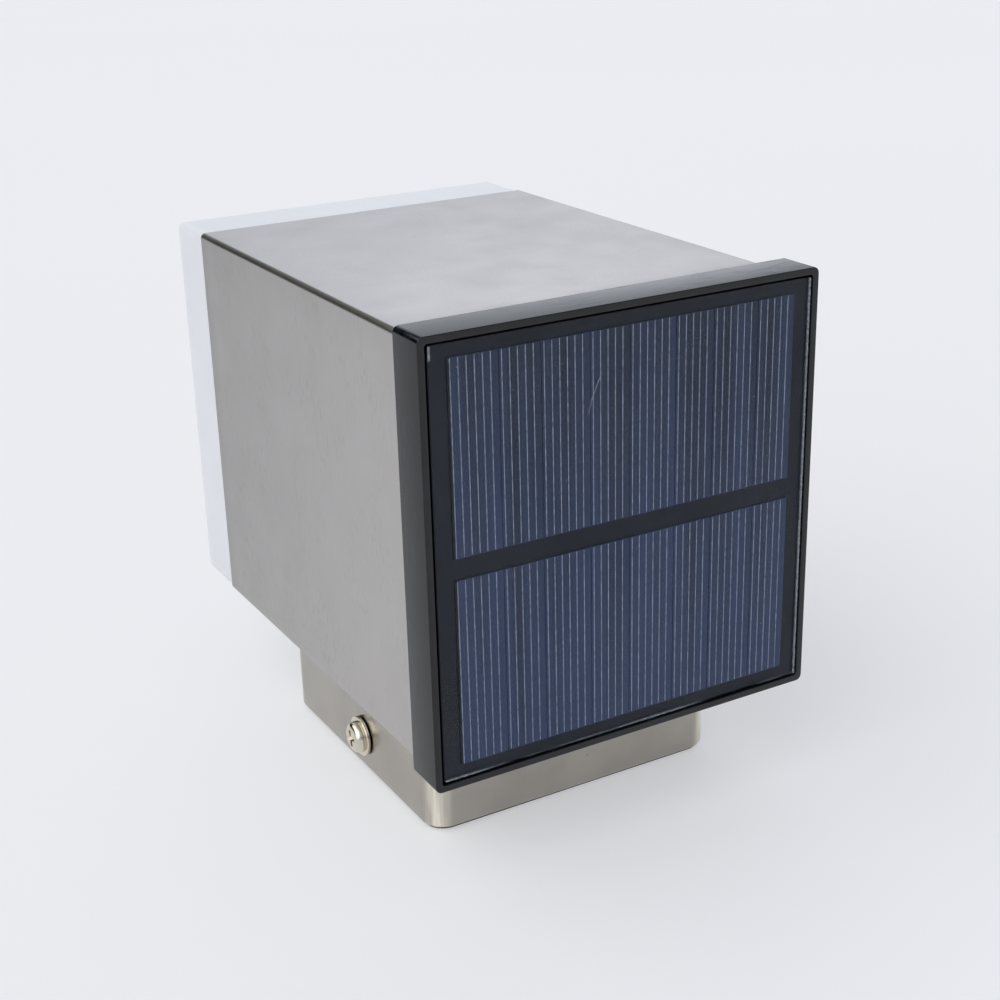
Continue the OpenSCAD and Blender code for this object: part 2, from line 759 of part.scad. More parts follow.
module head_seal() {
    y_seal = y_body + (spigot_l - head_seal_w) / 2;
    ring_w = in_w;
    ring_h = in_h;
    color("#151517") along_y(y_seal, y_seal + head_seal_w, z_core) difference() {
        round_rect(ring_w, ring_h, plug_r);
        square([ring_w - 2 * head_seal_t, ring_h - 2 * head_seal_t], center = true);
    }
}

// Extrudes a shape from y0 to y1 round the panel's own middle
module along_panel(y0, y1) {
    translate([panel_shift, 0, 0]) along_y(y0, y1, z_panel) children();
}

module panel_glue() {
    color("#d9d9d4") along_panel(y_glue, y_floor) difference() {
        square([panel_w, panel_h], center = true);
        square([panel_w - 2 * glue_w, panel_h - 2 * glue_w], center = true);
    }
}

module panel_board() {
    color("#2a2d31") along_panel(y_board, y_glue) square([panel_w, panel_h], center = true);
}

// One row of cell strips, above or below the middle of the panel
module cell_row(side) {
    z = z_panel + side * (row_gap + row_h) / 2;
    for (i = [0 : len(strip_fingers) - 1])
        translate([panel_shift + strip_x(i) - row_w / 2, y_cells, z - row_h / 2])
            cube([strip_w(i) - strip_gap, cell_t, row_h]);
}

module upper_cells() { color("#343b55") cell_row(1); }
module lower_cells() { color("#343b55") cell_row(-1); }

module panel_cover() {
    color("#59606c", 0.3) along_panel(y_cover, y_cells) square([panel_w, panel_h], center = true);
}

module panel_junction() {
    color("#0f0f10") rod_y(panel_lead_x, panel_lead_z, y_glue, y_glue + junction_t, junction_r);
}

module bezel_screws() {
    l = chassis_t + strap_t + (y_strap - y_floor_back) * boss_fill;
    color("silver") at_straps() pan_screw_y(0, 0, y_chassis_back, l, screw_r, screw_head_r, screw_head_h);
}

// Chassis with the battery and the control board

module at_control_posts() {
    for (sx = [-1, 1], sz = [-1, 1])
        translate([sx * (control_w / 2 - post_inset), 0, control_z + sz * (control_h / 2 - post_inset)])
            children();
}

module at_holder_tabs() {
    for (side = [-1, 1])
        translate([side * holder_tab_x, 0, holder_z + side * (holder_h + holder_tab) / 2]) children();
}

module chassis() {
    color("#3a3c3f") difference() {
        union() {
            block([-chassis_w / 2, y_chassis, z_core - chassis_h / 2],
                [chassis_w / 2, y_chassis_back, z_core + chassis_h / 2]);
            at_control_posts() rod_y(0, 0, y_chassis, y_control, post_r);
        }
        at_straps() rod_y(0, 0, y_chassis - cut, y_chassis_back + cut, screw_r + thread_gap);
        at_holder_tabs() rod_y(0, 0, y_chassis - cut, y_chassis_back + cut, screw_r + thread_gap);
        at_control_posts() rod_y(0, 0, y_chassis - cut, y_control + cut, small_screw_r + thread_gap);
        rod_y(panel_lead_x, panel_lead_z, y_chassis - cut, y_chassis_back + cut, lead_hole_r);
    }
}

module battery_holder() {
    y0 = y_chassis_back;
    color("#202124") difference() {
        union() {
            block([-holder_l / 2, y0, holder_z - holder_h / 2],
                [holder_l / 2, y0 + holder_depth, holder_z + holder_h / 2]);
            at_holder_tabs() translate([0, y0 + holder_t / 2, 0])
                cube([holder_tab_w, holder_t, holder_tab + 2 * cut], center = true);
        }
        block([-holder_in_l / 2, y0 + holder_t, holder_z - holder_in_h / 2],
            [holder_in_l / 2, y0 + holder_depth + cut, holder_z + holder_in_h / 2]);
        at_holder_tabs() rod_y(0, 0, y0 - cut, y0 + holder_t + cut, screw_r + thread_gap);
    }
}

module battery_cell() {
    color("#3f7fb5") {
        rod_x(cell_y, holder_z, cell_x, cell_x + cell_l, cell_d / 2);
        rod_x(cell_y, holder_z, cell_x + cell_l - cut, cell_x + cell_l + nub_l, nub_r);
    }
}

// Conical spring, drawn as one wound wire
module battery_spring() {
    turns = 3;
    steps = 14;
    sides = 6;
    count = turns * steps;
    run = spring_l - 2 * spring_wire_r;
    x0 = -holder_in_l / 2 + contact_t + spring_wire_r;
    function reach(i) = spring_r * (1 - 0.4 * i / count);
    function spot(i) = [x0 + run * i / count, cell_y + reach(i) * cos(360 * i / steps),
        holder_z + reach(i) * sin(360 * i / steps)];
    p = [for (i = [0 : count]) spot(i)];
    n = turned(p, 0, [1, 0, 0]);
    rings = [for (i = [0 : count], k = [0 : sides - 1])
        let (b = cross(tangent(p, i), n[i]), a = 360 * k / sides)
        p[i] + spring_wire_r * (n[i] * cos(a) + b * sin(a))];
    walls = [for (i = [0 : count - 1], k = [0 : sides - 1])
        let (a = i * sides + k, b = i * sides + (k + 1) % sides)
        each [[a, b + sides, b], [a, a + sides, b + sides]]];
    start = [for (k = [1 : sides - 2]) [0, k, k + 1]];
    end = [for (k = [1 : sides - 2]) [count * sides, count * sides + k + 1, count * sides + k]];
    color("silver") polyhedron(rings, concat(walls, start, end));
}

module battery_contacts() {
    color("#c9c4b4") for (side = [-1, 1])
        translate([side * (holder_in_l - contact_t) / 2, cell_y, holder_z])
            cube([contact_t, contact_w, contact_w], center = true);
}

module holder_screws() {
    l = holder_t + chassis_t;
    color("silver") at_holder_tabs()
        pan_screw_y(0, 0, y_chassis_back + holder_t, l, screw_r, screw_head_r, screw_head_h);
}

module control_board() {
    color("#1f5a3c") difference() {
        block([-control_w / 2, y_control, control_z - control_h / 2],
            [control_w / 2, y_control_back, control_z + control_h / 2]);
        at_control_posts() rod_y(0, 0, y_control - cut, y_control_back + cut, small_screw_r + thread_gap);
    }
}

module control_chips() {
    color("#17181a") {
        translate([chip_at.x, y_control_back, control_z + chip_at.y]) cube(chip_size);
        for (i = [0, 1])
            translate([diode_at.x + i * diode_pitch, y_control_back, control_z + diode_at.y])
                cube(diode_size);
    }
}

module choke() {
    color("#2c2c2e")
        rod_y(choke_at.x, control_z + choke_at.y, y_control_back, y_control_back + choke_h, choke_r);
}

module capacitor() {
    color("#b9bcc0")
        rod_y(capacitor_at.x, control_z + capacitor_at.y, y_control_back, y_control_back + capacitor_h,
            capacitor_r);
}

module connectors() {
    color("ivory") for (x = plug_x)
        translate([x, y_control_back + plug_size.y / 2, plug_z]) cube(plug_size, center = true);
}

module board_screws() {
    l = control_t + post_h;
    color("silver") at_control_posts()
        pan_screw_y(0, 0, y_control_back, l, small_screw_r, small_head_r, small_head_h);
}

// Switch on the body's floor, worked from the wall side

module switch_case() {
    room_w = slider_foot_w + switch_travel + 2 * slip;
    room_d = slider_foot_d + 2 * slip;
    room_h = slider_foot_h + 2 * slip;
    color("#2b2c2e") difference() {
        union() {
            translate([-switch_w / 2, switch_y - switch_d / 2, switch_z])
                cube([switch_w, switch_d, switch_h]);
            translate([-flange_w / 2, switch_y - switch_d / 2, switch_z - flange_t])
                cube([flange_w, switch_d, flange_t]);
        }
        translate([-room_w / 2, switch_y - room_d / 2, switch_z]) cube([room_w, room_d, room_h]);
        translate([-slot_w / 2, switch_y - slot_d / 2, switch_z - flange_t - cut])
            cube([slot_w, slot_d, flange_t + 2 * cut]);
        for (sx = [-1, 1])
            translate([sx * switch_pitch / 2, switch_y, switch_z - flange_t - cut])
                cylinder(r = small_screw_r + thread_gap, h = flange_t + 2 * cut);
    }
}

module switch_slider() {
    x = -switch_travel / 2;
    color("#d8d8d6") {
        translate([x - slider_foot_w / 2, switch_y - slider_foot_d / 2, switch_z + slip])
            cube([slider_foot_w, slider_foot_d, slider_foot_h]);
        translate([x - grip_w / 2, switch_y - grip_d / 2, z_body - grip_out])
            cube([grip_w, grip_d, switch_z + 2 * slip - z_body + grip_out]);
    }
}

module switch_terminals() {
    color("#c8b370") for (i = [-1 : 1])
        translate([i * terminal_pitch - terminal_w / 2, switch_y - terminal_t / 2, switch_z + switch_h])
            cube([terminal_w, terminal_t, terminal_h]);
}

module switch_seal() {
    color("#151517") difference() {
        translate([-flange_w / 2, switch_y - switch_d / 2, z_deck])
            cube([flange_w, switch_d, switch_seal_t]);
        translate([-slot_w / 2, switch_y - slot_d / 2, z_deck - cut])
            cube([slot_w, slot_d, switch_seal_t + 2 * cut]);
        for (sx = [-1, 1])
            translate([sx * switch_pitch / 2, switch_y, z_deck - cut])
                cylinder(r = small_screw_r + thread_gap, h = switch_seal_t + 2 * cut);
    }
}

module switch_screws() {
    color("silver") for (sx = [-1, 1]) translate([sx * switch_pitch / 2, switch_y, z_body - small_head_h]) {
        cylinder(r1 = small_head_r * 0.7, r2 = small_head_r, h = small_head_h);
        translate([0, 0, small_head_h / 2])
            cylinder(r = small_screw_r, h = switch_z - z_body + small_head_h);
    }
}

// Lamp end

module at_led_screws() {
    for (sx = [-1, 1], sz = [-1, 1])
        translate([sx * led_screw_at, 0, z_core + sz * led_screw_at]) children();
}

// Places its child where a clip stands inside the diffuser's wall, with x pointing outwards
module at_clips() {
    for (s = [-1, 1]) {
        translate([s * (plug_w / 2 - diffuser_t - clip_t), 0, z_core])
            rotate([0, s > 0 ? 0 : 180, 0]) children();
        translate([0, 0, z_core + s * (plug_h / 2 - diffuser_t - clip_t)])
            rotate([0, s > 0 ? -90 : 90, 0]) children();
    }
}

module led_tray() {
    color("white") difference() {
        along_y(y_tray, y_led, z_core) round_rect(plug_w, plug_h, plug_r);
        at_straps() rod_y(0, 0, y_tray - cut, y_led + cut, screw_r + thread_gap);
        at_led_screws() rod_y(0, 0, y_tray - cut, y_led + cut, screw_r + thread_gap);
        rod_y(led_hole_x, pad_z, y_tray - cut, y_led + cut, lead_r + slip);
        at_clips() block([-slip, y_tray - cut, -clip_w / 2 - slip],
            [clip_t + clip_catch + slip, y_led + cut, clip_w / 2 + slip]);
    }
}

module tray_screws() {
    l = tray_t + strap_t + tray_screw_end;
    color("silver") at_straps() pan_screw_y(0, 0, y_led, l, screw_r, screw_head_r, screw_head_h);
}

module led_board() {
    color("#e9ecef") difference() {
        along_y(y_led, y_led_back, z_core) square([led_board_w, led_board_w], center = true);
        at_led_screws() rod_y(0, 0, y_led - cut, y_led_back + cut, screw_r + thread_gap);
    }
}

module led_chips() {
    color("#e8d26a") for (i = [0 : led_cols - 1], k = [0 : led_rows - 1])
        translate([(i - (led_cols - 1) / 2) * led_pitch, y_led_back + led_h / 2,
            z_core + (k - (led_rows - 1) / 2) * led_pitch])
            cube([led_size.x, led_h, led_size.y], center = true);
}

module led_board_screws() {
    l = led_board_t + tray_t + led_screw_end;
    color("silver") at_led_screws() pan_screw_y(0, 0, y_led_back, l, screw_r, screw_head_r, screw_head_h);
}

// Block along y whose far end is rounded too
module capped_block(w, h, y0, y1, r) {
    along_y(y0, y1 - r, z_core) round_rect(w, h, r);
    along_y(y1 - 2 * r, y1, z_core) square([w - 2 * r, h - 2 * r], center = true);
    for (sx = [-1, 1]) {
        translate([sx * (w / 2 - r), y1 - r, z_core]) cylinder(r = r, h = h - 2 * r, center = true);
        for (sz = [-1, 1]) translate([sx * (w / 2 - r), y1 - r, z_core + sz * (h / 2 - r)]) sphere(r);
    }
    for (sz = [-1, 1])
        translate([0, y1 - r, z_core + sz * (h / 2 - r)]) rotate([0, 90, 0])
            cylinder(r = r, h = w - 2 * r, center = true);
}

module diffuser() {
    cap_w = body_w - 2 * diffuser_step;
    cap_h = body_h - 2 * diffuser_step;
    color("white") {
        difference() {
            union() {
                capped_block(cap_w, cap_h, y_rear, y_face, diffuser_r);
                along_y(y_skirt, y_rear + cut, z_core) round_rect(plug_w, plug_h, plug_r);
            }
            along_y(y_skirt - cut, y_face - diffuser_t, z_core)
                square([plug_w - 2 * diffuser_t, plug_h - 2 * diffuser_t], center = true);
        }
        at_clips() {
            block([0, y_catch - clip_catch_l, -clip_w / 2], [clip_t, y_skirt + clip_root, clip_w / 2]);
            block([-clip_catch, y_catch - clip_catch_l, -clip_w / 2], [clip_t, y_catch, clip_w / 2]);
            block([clip_t / 2, y_skirt + clip_free, -clip_w / 2],
                [clip_t + cut, y_skirt + clip_root, clip_w / 2]);
        }
    }
}

module diffuser_seal() {
    color("#e4e4e2") along_y(y_led, y_skirt, z_core) difference() {
        round_rect(plug_w, plug_h, plug_r);
        square([plug_w - 2 * diffuser_t, plug_h - 2 * diffuser_t], center = true);
    }
}

// Leads

module panel_lead() {
    color("#8c1d1d") lead(panel_route, [1, 0, 0]);
}

module battery_lead() {
    color("#1d2f8c") lead(battery_route, [0, 0, 1]);
}

module led_lead() {
    color("#8c1d1d") lead(led_route, [0, 0, 1]);
}

module switch_lead() {
    color("#2b2b2b") lead(switch_route, [1, 0, 0]);
}

body_shell();
front_straps();
rear_straps();
wall_box();
box_angles();
box_rivets();
wall_gasket();
wall_plate();
weld_nuts();
left_clamp_screw();
right_clamp_screw();
left_clamp_washer();
right_clamp_washer();
solar_bezel();
head_seal();
panel_glue();
panel_board();
upper_cells();
lower_cells();
panel_cover();
panel_junction();
bezel_screws();
chassis();
battery_holder();
battery_cell();
battery_spring();
battery_contacts();
holder_screws();
control_board();
control_chips();
choke();
capacitor();
connectors();
board_screws();
switch_case();
switch_slider();
switch_terminals();
switch_seal();
switch_screws();
led_tray();
tray_screws();
led_board();
led_chips();
led_board_screws();
diffuser();
diffuser_seal();
panel_lead();
battery_lead();
led_lead();
switch_lead();
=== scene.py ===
"""Square solar wall light: the looks of its pieces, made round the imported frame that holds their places."""
import math
import bmesh
import bpy
from bpy.props import FloatProperty, FloatVectorProperty, IntProperty, PointerProperty
from mathutils import Matrix, Vector


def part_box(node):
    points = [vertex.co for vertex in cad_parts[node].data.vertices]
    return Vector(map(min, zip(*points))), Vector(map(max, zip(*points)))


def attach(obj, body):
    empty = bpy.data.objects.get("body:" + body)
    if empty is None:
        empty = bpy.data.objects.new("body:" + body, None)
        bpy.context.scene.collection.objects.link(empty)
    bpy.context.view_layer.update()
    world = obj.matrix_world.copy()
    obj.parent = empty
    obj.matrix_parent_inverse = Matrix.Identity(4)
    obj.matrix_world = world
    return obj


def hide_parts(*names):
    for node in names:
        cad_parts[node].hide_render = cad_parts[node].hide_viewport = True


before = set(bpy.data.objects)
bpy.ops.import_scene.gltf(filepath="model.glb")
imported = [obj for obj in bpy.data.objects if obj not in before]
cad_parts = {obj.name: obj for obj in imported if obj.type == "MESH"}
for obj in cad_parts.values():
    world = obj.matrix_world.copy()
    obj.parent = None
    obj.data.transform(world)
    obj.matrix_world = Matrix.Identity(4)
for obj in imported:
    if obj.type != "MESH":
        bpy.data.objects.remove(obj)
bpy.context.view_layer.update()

bl_info = {
    "name": "Solar Wall Light",
    "version": (1, 0, 0),
    "blender": (4, 5, 0),
    "location": "View3D > Sidebar > Wall Light",
    "description": "Models and finishes a square solar wall light round its packed frame",
    "category": "Add Mesh",
}

X, Y, Z = 0, 1, 2
# Two places count as the same within this distance
SAME = 1e-6
# An edge or a face's normal lies along an axis if more than this share of its length does
ALONG = 0.999
# Edges that turn more than this stay sharp
SHARP = math.radians(38)
# Cut edges that turn more than this are deburred
CUT_ANGLE = math.radians(60)
# Sides of a small round hole, and of a boss
HOLE_SIDES = 32
# Fingers on each cell strip of a row, from left to right
STRIP_FINGERS = (6, 5, 6, 5, 6, 5, 6, 5)


def linear(hex_colour):
    """The linear colour, with alpha 1, of an sRGB hex value."""
    parts = [int(hex_colour[i:i + 2], 16) / 255 for i in (1, 3, 5)]
    return tuple(p / 12.92 if p <= 0.04045 else ((p + 0.055) / 1.055) ** 2.4 for p in parts) + (1.0,)


def length(name, millimetres, description):
    """A size that a user can set, given in millimetres and kept in metres."""
    return FloatProperty(
        name=name, description=description, default=millimetres / 1000, min=0.0, precision=5, unit="LENGTH")


def tint(name, hex_colour, description):
    """A colour that a user can set."""
    return FloatVectorProperty(
        name=name, description=description, default=linear(hex_colour), min=0.0, max=1.0, size=4,
        subtype="COLOR")


class WallLightSizes(bpy.types.PropertyGroup):
    """Sizes that the frame's boxes don't give."""
    sheet: length("Sheet", 0.8, "Thickness of the steel of the body and of the wall box")
    fold_radius: length("Fold radius", 1.3, "Outer radius of the body's four folds")
    cut_soft: length("Cut edge", 0.12, "Rounding of a deburred sheet edge")
    wave_height: length("Wave height", 0.05, "How far the thin sheet waves")
    wave_length: length("Wave length", 38, "Distance over which the thin sheet waves")
    box_radius: length("Box corner", 6, "Outer radius of the wall box's upright corners")
    box_edge_radius: length("Box edge", 1.2, "Outer radius of the wall box's pressed edge")
    box_rim: length("Box rim", 5, "Width of the wall box's inward rim")
    mouth_radius: length("Mouth corner", 3, "Corner radius of the opening in the rim")
    clamp_hole_radius: length("Clamp hole", 2.3, "Radius of the holes for the clamp screws")
    bezel_radius: length("Bezel corner", 1.5, "Radius of the bezel's four long corners")
    bezel_soft: length("Bezel edge", 0.16, "Rounding of the bezel's front edges")
    lip_width: length("Lip", 1.6, "Width of the lip round the panel")
    lip_corner: length("Lip corner", 0.7, "Inner corner radius of the lip")
    bezel_floor: length("Bezel floor", 2, "Thickness of the bezel's floor behind the panel")
    spigot_length: length("Spigot", 8, "Length of the spigot that enters the body")
    spigot_wall: length("Spigot wall", 2, "Wall of the spigot")
    spigot_corner: length("Spigot corner", 0.5, "Corner radius of the spigot")
    seal_bite: length("Seal groove", 0.9, "Depth of the groove for the rubber ring")
    boss_radius: length("Boss", 3.5, "Radius of the screw bosses behind the bezel's floor")
    bore_radius: length("Bore", 1.55, "Radius of the bores in the bosses")
    cover_gap: length("Cover gap", 0.06, "Room for the silver fingers between cells and cover")
    cover_soft: length("Cover edge", 0.12, "Rounding of the cover's front edge")
    finger_width: length("Finger width", 0.19, "Width of a printed silver finger")
    finger_height: length("Finger height", 0.03, "Height of a printed silver finger")
    finger_inset: length("Finger inset", 0.65, "First finger's distance from its strip's left edge")
    finger_end: length("Finger end", 0.2, "Bare cell beyond a finger's end")
    strip_margin: length("Strip margin", 0.7, "Dark margin that each strip adds to its fingers")
    strip_gap: length("Strip gap", 0.16, "Gap between two cell strips")
    thread_pitch: length("Thread pitch", 0.7, "Pitch of the clamp screw's thread")
    thread_radius: length("Thread radius", 2, "Outer radius of the clamp screw's thread")
    thread_root: length("Thread root", 1.57, "Root radius of the clamp screw's thread")
    head_round: length("Head rounding", 1.95, "Rounding of the pan head's shoulder")
    recess_length: length("Recess", 5.8, "Length of the cross recess")
    recess_width: length("Recess width", 1.3, "Width of the cross recess")
    recess_depth: length("Recess depth", 1.6, "Depth of the cross recess")
    washer_bore: length("Washer bore", 2.15, "Radius of the washer's hole")
    rivet_head: length("Rivet head", 3.04, "Radius of the rivets' heads")
    rivet_hole: length("Rivet hole", 1.65, "Radius of the rivets' holes")
    small_head: length("Small head", 1.9, "Radius of the switch screws' heads")
    small_hole: length("Small hole", 1.05, "Radius of the switch screws' holes")
    slot_width: length("Slot length", 7, "Length of the slot for the switch's slider")
    slot_depth: length("Slot width", 3.2, "Width of the slot for the switch's slider")
    screw_head: length("Screw head", 2.8, "Radius of the inner screws' heads")
    lead_hole: length("Lead hole", 3.5, "Radius of the hole for the panel's lead")
    round_steps: IntProperty(
        name="Round steps", description="Sides of a round fastener", default=64, min=16, max=128)


class WallLightColours(bpy.types.PropertyGroup):
    """Colours of the pieces that show most."""
    steel: tint("Satin steel", "#BDBAB8", "Brushed stainless sheet of the body")
    box_steel: tint("Polished steel", "#AEA9A1", "Pressed and polished stainless wall box")
    nickel: tint("Nickel", "#E3DCCB", "Nickel plate of the clamp screws")
    bezel: tint("Black moulding", "#060A0E", "Dyed black plastic of the bezel")
    board: tint("Panel board", "#070F19", "Black backing board of the solar panel")
    cell: tint("Silicon", "#1A2334", "Silicon between the fingers")
    cell_light: tint("Silicon, lighter", "#303D5C", "Lighter bands of the silicon")
    silver: tint("Silver paste", "#9DA7BC", "Printed silver fingers")
    # Pale colour of the film's dust, scratch and edge line, the edge line partly a painted glint
    veil: tint("Cover film", "#AEB4BA", "Whitened edge of the clear cover film")
    opal: tint("Opal plastic", "#E2E4E7", "Frosted opal plastic of the diffuser")
    floor: tint("Floor", "#E6E6E7", "Pale floor")


def sizes():
    """The sizes as the user set them."""
    return bpy.context.scene.wall_light_sizes


def colours():
    """The colours as the user set them."""
    return bpy.context.scene.wall_light_colours


# Modelling steps

def start_fresh(piece=None):
    """Leaves edit mode, deselects everything and takes up one piece, because operators act on all
    that is selected."""
    if bpy.context.object and bpy.context.object.mode != "OBJECT":
        bpy.ops.object.mode_set(mode="OBJECT")
    bpy.ops.object.select_all(action="DESELECT")
    if piece:
        piece.select_set(True)
        bpy.context.view_layer.objects.active = piece


def settle(piece):
    """Puts the piece's place and turn into its mesh, so that its object stands at the origin."""
    start_fresh(piece)
    bpy.ops.object.transform_apply(location=True, rotation=True, scale=True)
    return piece


def add_block(name, low, high):
    """A block from its lowest to its highest corner, as the start of a piece."""
    start_fresh()
    low, high = Vector(low), Vector(high)
    bpy.ops.mesh.primitive_cube_add(size=1, location=(low + high) / 2, scale=high - low)
    piece = bpy.context.object
    piece.name = name
    return settle(piece)


def add_rod(name, radius, start, end, sides=None):
    """A cylinder from one point to another, as the start of a piece."""
    start_fresh()
    start, end = Vector(start), Vector(end)
    turn = (end - start).to_track_quat("Z", "Y").to_euler()
    bpy.ops.mesh.primitive_cylinder_add(
        vertices=sides or sizes().round_steps, radius=radius, depth=(end - start).length,
        location=(start + end) / 2, rotation=turn)
    piece = bpy.context.object
    piece.name = name
    return settle(piece)


def pick(piece, kind, test):
    """In edit mode, selects the piece's faces or edges that pass the test, and nothing else."""
    if piece.mode != "EDIT":
        start_fresh(piece)
        bpy.ops.object.mode_set(mode="EDIT")
    bpy.ops.mesh.select_mode(type=kind)
    bpy.ops.mesh.select_all(action="DESELECT")
    mesh = bmesh.from_edit_mesh(piece.data)
    chosen = [part for part in (mesh.faces if kind == "FACE" else mesh.edges) if test(part)]
    if not chosen:
        raise RuntimeError(f"{piece.name}: nothing there to select")
    for part in chosen:
        part.select_set(True)
    mesh.select_flush_mode()
    bmesh.update_edit_mesh(piece.data)


def round_off(piece, test, width, segments, **shape):
    """Bevels the piece's edges that pass the test."""
    pick(piece, "EDGE", test)
    bpy.ops.mesh.bevel(offset=width, segments=segments, affect="EDGES", **shape)


def draw_out(distance):
    """Extrudes the selected face along y."""
    bpy.ops.mesh.extrude_region_move(TRANSFORM_OT_translate={"value": (0, distance, 0)})


def middle_of(node):
    """The middle of a CAD node's box."""
    low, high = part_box(node)
    return (low + high) / 2


def middle(edge):
    """The middle of an edge."""
    return (edge.verts[0].co + edge.verts[1].co) / 2


def runs(edge, axis):
    """True if the edge runs along the axis."""
    way = (edge.verts[1].co - edge.verts[0].co).normalized()
    return abs(way[axis]) > ALONG


def lies(part, axis, value):
    """True if all corners of an edge or face have that place on the axis."""
    return all(abs(v.co[axis] - value) < SAME for v in part.verts)


def turns(edge):
    """True if the faces at the edge turn by more than the sharp angle there."""
    return edge.calc_face_angle(0) > SHARP


def slice_up(piece, axis, steps):
    """Cuts the piece's faces across an axis into equal steps, so that they can bend."""
    low = min(v.co[axis] for v in piece.data.vertices)
    high = max(v.co[axis] for v in piece.data.vertices)
    start_fresh(piece)
    bpy.ops.object.mode_set(mode="EDIT")
    way = [0, 0, 0]
    way[axis] = 1
    for step in range(1, steps):
        bpy.ops.mesh.select_all(action="SELECT")
        place = [0, 0, 0]
        place[axis] = low + (high - low) * step / steps
        bpy.ops.mesh.bisect(plane_co=place, plane_no=way)
    bpy.ops.object.mode_set(mode="OBJECT")


def modify(piece, kind, **settings):
    """Adds a modifier with its settings and applies it."""
    start_fresh(piece)
    modifier = piece.modifiers.new(kind.title(), kind)
    for name, value in settings.items():
        setattr(modifier, name, value)
    bpy.ops.object.modifier_apply(modifier=modifier.name)


def make_sheet(piece, steps, height, span):
    """Turns a bent shape without thickness into thin sheet: cuts it into steps along each axis, gives it the
    slight waves that rolling and pressing leave, and then its thickness inwards and deburred edges."""
    for axis, count in zip((X, Y, Z), steps):
        slice_up(piece, axis, count)
    clouds = bpy.data.textures.new(piece.name + "_waves", "CLOUDS")
    clouds.noise_scale = span
    clouds.noise_depth = 1
    modify(piece, "DISPLACE", texture=clouds, texture_coords="LOCAL", strength=height, mid_level=0.5)
    modify(piece, "SOLIDIFY", thickness=sizes().sheet, offset=-1, use_even_offset=True)
    modify(piece, "BEVEL", width=sizes().cut_soft, segments=2, limit_method="ANGLE", angle_limit=CUT_ANGLE)


def combine(piece, tool, operation):
    """Cuts the tool out of the piece or welds it on, and removes the tool."""
    modify(piece, "BOOLEAN", object=tool, operation=operation, solver="EXACT")
    bpy.data.objects.remove(tool)


def drill(piece, radius, start, end, sides=HOLE_SIDES):
    """Bores a round hole into the piece from one point to another."""
    combine(piece, add_rod("hole", radius, start, end, sides), "DIFFERENCE")


def mend(piece, step, **settings):
    """Merges the piece's doubles and then takes one more edit step on all of it."""
    start_fresh(piece)
    bpy.ops.object.mode_set(mode="EDIT")
    bpy.ops.mesh.select_all(action="SELECT")
    bpy.ops.mesh.remove_doubles(threshold=SAME)
    bpy.ops.mesh.select_all(action="SELECT")
    step(**settings)
    bpy.ops.object.mode_set(mode="OBJECT")


def copied(piece, name):
    """A copy of the piece with its own mesh."""
    start_fresh(piece)
    bpy.ops.object.duplicate(linked=False)
    copy = bpy.context.object
    copy.name = name
    return copy


def joined(pieces):
    """The pieces as one object, under the first one's name."""
    start_fresh(pieces[0])
    for piece in pieces[1:]:
        piece.select_set(True)
    bpy.ops.object.join()
    return bpy.context.object


def dress(piece, body, slot, *nodes, look=None):
    """Shades the piece, gives it its slot's finish or a look of its own, ties it to its body, and hides the
    CAD nodes that it stands for."""
    start_fresh(piece)
    bpy.ops.object.shade_smooth_by_angle(angle=SHARP)
    piece.data.name = piece.name
    piece.data.materials.clear()
    piece.data.materials.append(finish(look or FINISHES[slot]))
    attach(piece, body)
    if nodes:
        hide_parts(*nodes)


# Materials

def milky(ior, weight, reach):
    """The constants of a plastic that light enters as far as the reach."""
    return {
        "IOR": ior, "Subsurface Weight": weight, "Subsurface Radius": (reach, reach, reach),
        "Subsurface Scale": 1.0}


METAL = {"Metallic": 1.0}
SILICONE = milky(1.41, 0.3, 0.002)
INSULATION = (0.004, (0.36, 0.46), 0.0004, 0.000006, {"IOR": 1.53})


def find_socket(sockets, key):
    """The socket with that number or identifier, or else the first one with that name."""
    if isinstance(key, int):
        return sockets[key]
    exact = [socket for socket in sockets if socket.identifier == key]
    return (exact or [socket for socket in sockets if socket.name == key])[0]


def fill(tree, node, inputs):
    """Gives each input a value, or links it to an output or to the first output in use of another node."""
    for key, value in inputs.items():
        socket = find_socket(node.inputs, key)
        if isinstance(value, bpy.types.Node):
            value = [output for output in value.outputs if output.enabled][0]
        if isinstance(value, bpy.types.NodeSocket):
            tree.links.new(value, socket)
        else:
            socket.default_value = value


def add_node(tree, kind, inputs=None, **settings):
    """Adds a shader node of a kind with its settings, and fills its inputs."""
    node = tree.nodes.new("ShaderNode" + kind)
    for name, value in settings.items():
        setattr(node, name, value)
    fill(tree, node, inputs or {})
    return node


def surface(name, inputs):
    """A new material, its tree, the object coordinates in it, and its one shader with constant inputs."""
    material = bpy.data.materials.new(name)
    material.use_nodes = True
    tree = material.node_tree
    tree.nodes.clear()
    place = add_node(tree, "TexCoord").outputs["Object"]
    shader = add_node(tree, "BsdfPrincipled", inputs)
    add_node(tree, "OutputMaterial", {"Surface": shader})
    return material, tree, place, shader


def times(colour, share):
    """The colour with its light taken times a share, and alpha 1."""
    return tuple(share * c for c in colour[:3]) + (1.0,)


def lay_colours(tree, base, *layers):
    """Lays colours over a base colour one after another, each by its own mask."""
    for mask, colour in layers:
        base = add_node(tree, "Mix", {
            "Factor_Float": mask, "A_Color": base, "B_Color": colour}, data_type="RGBA")
    return base


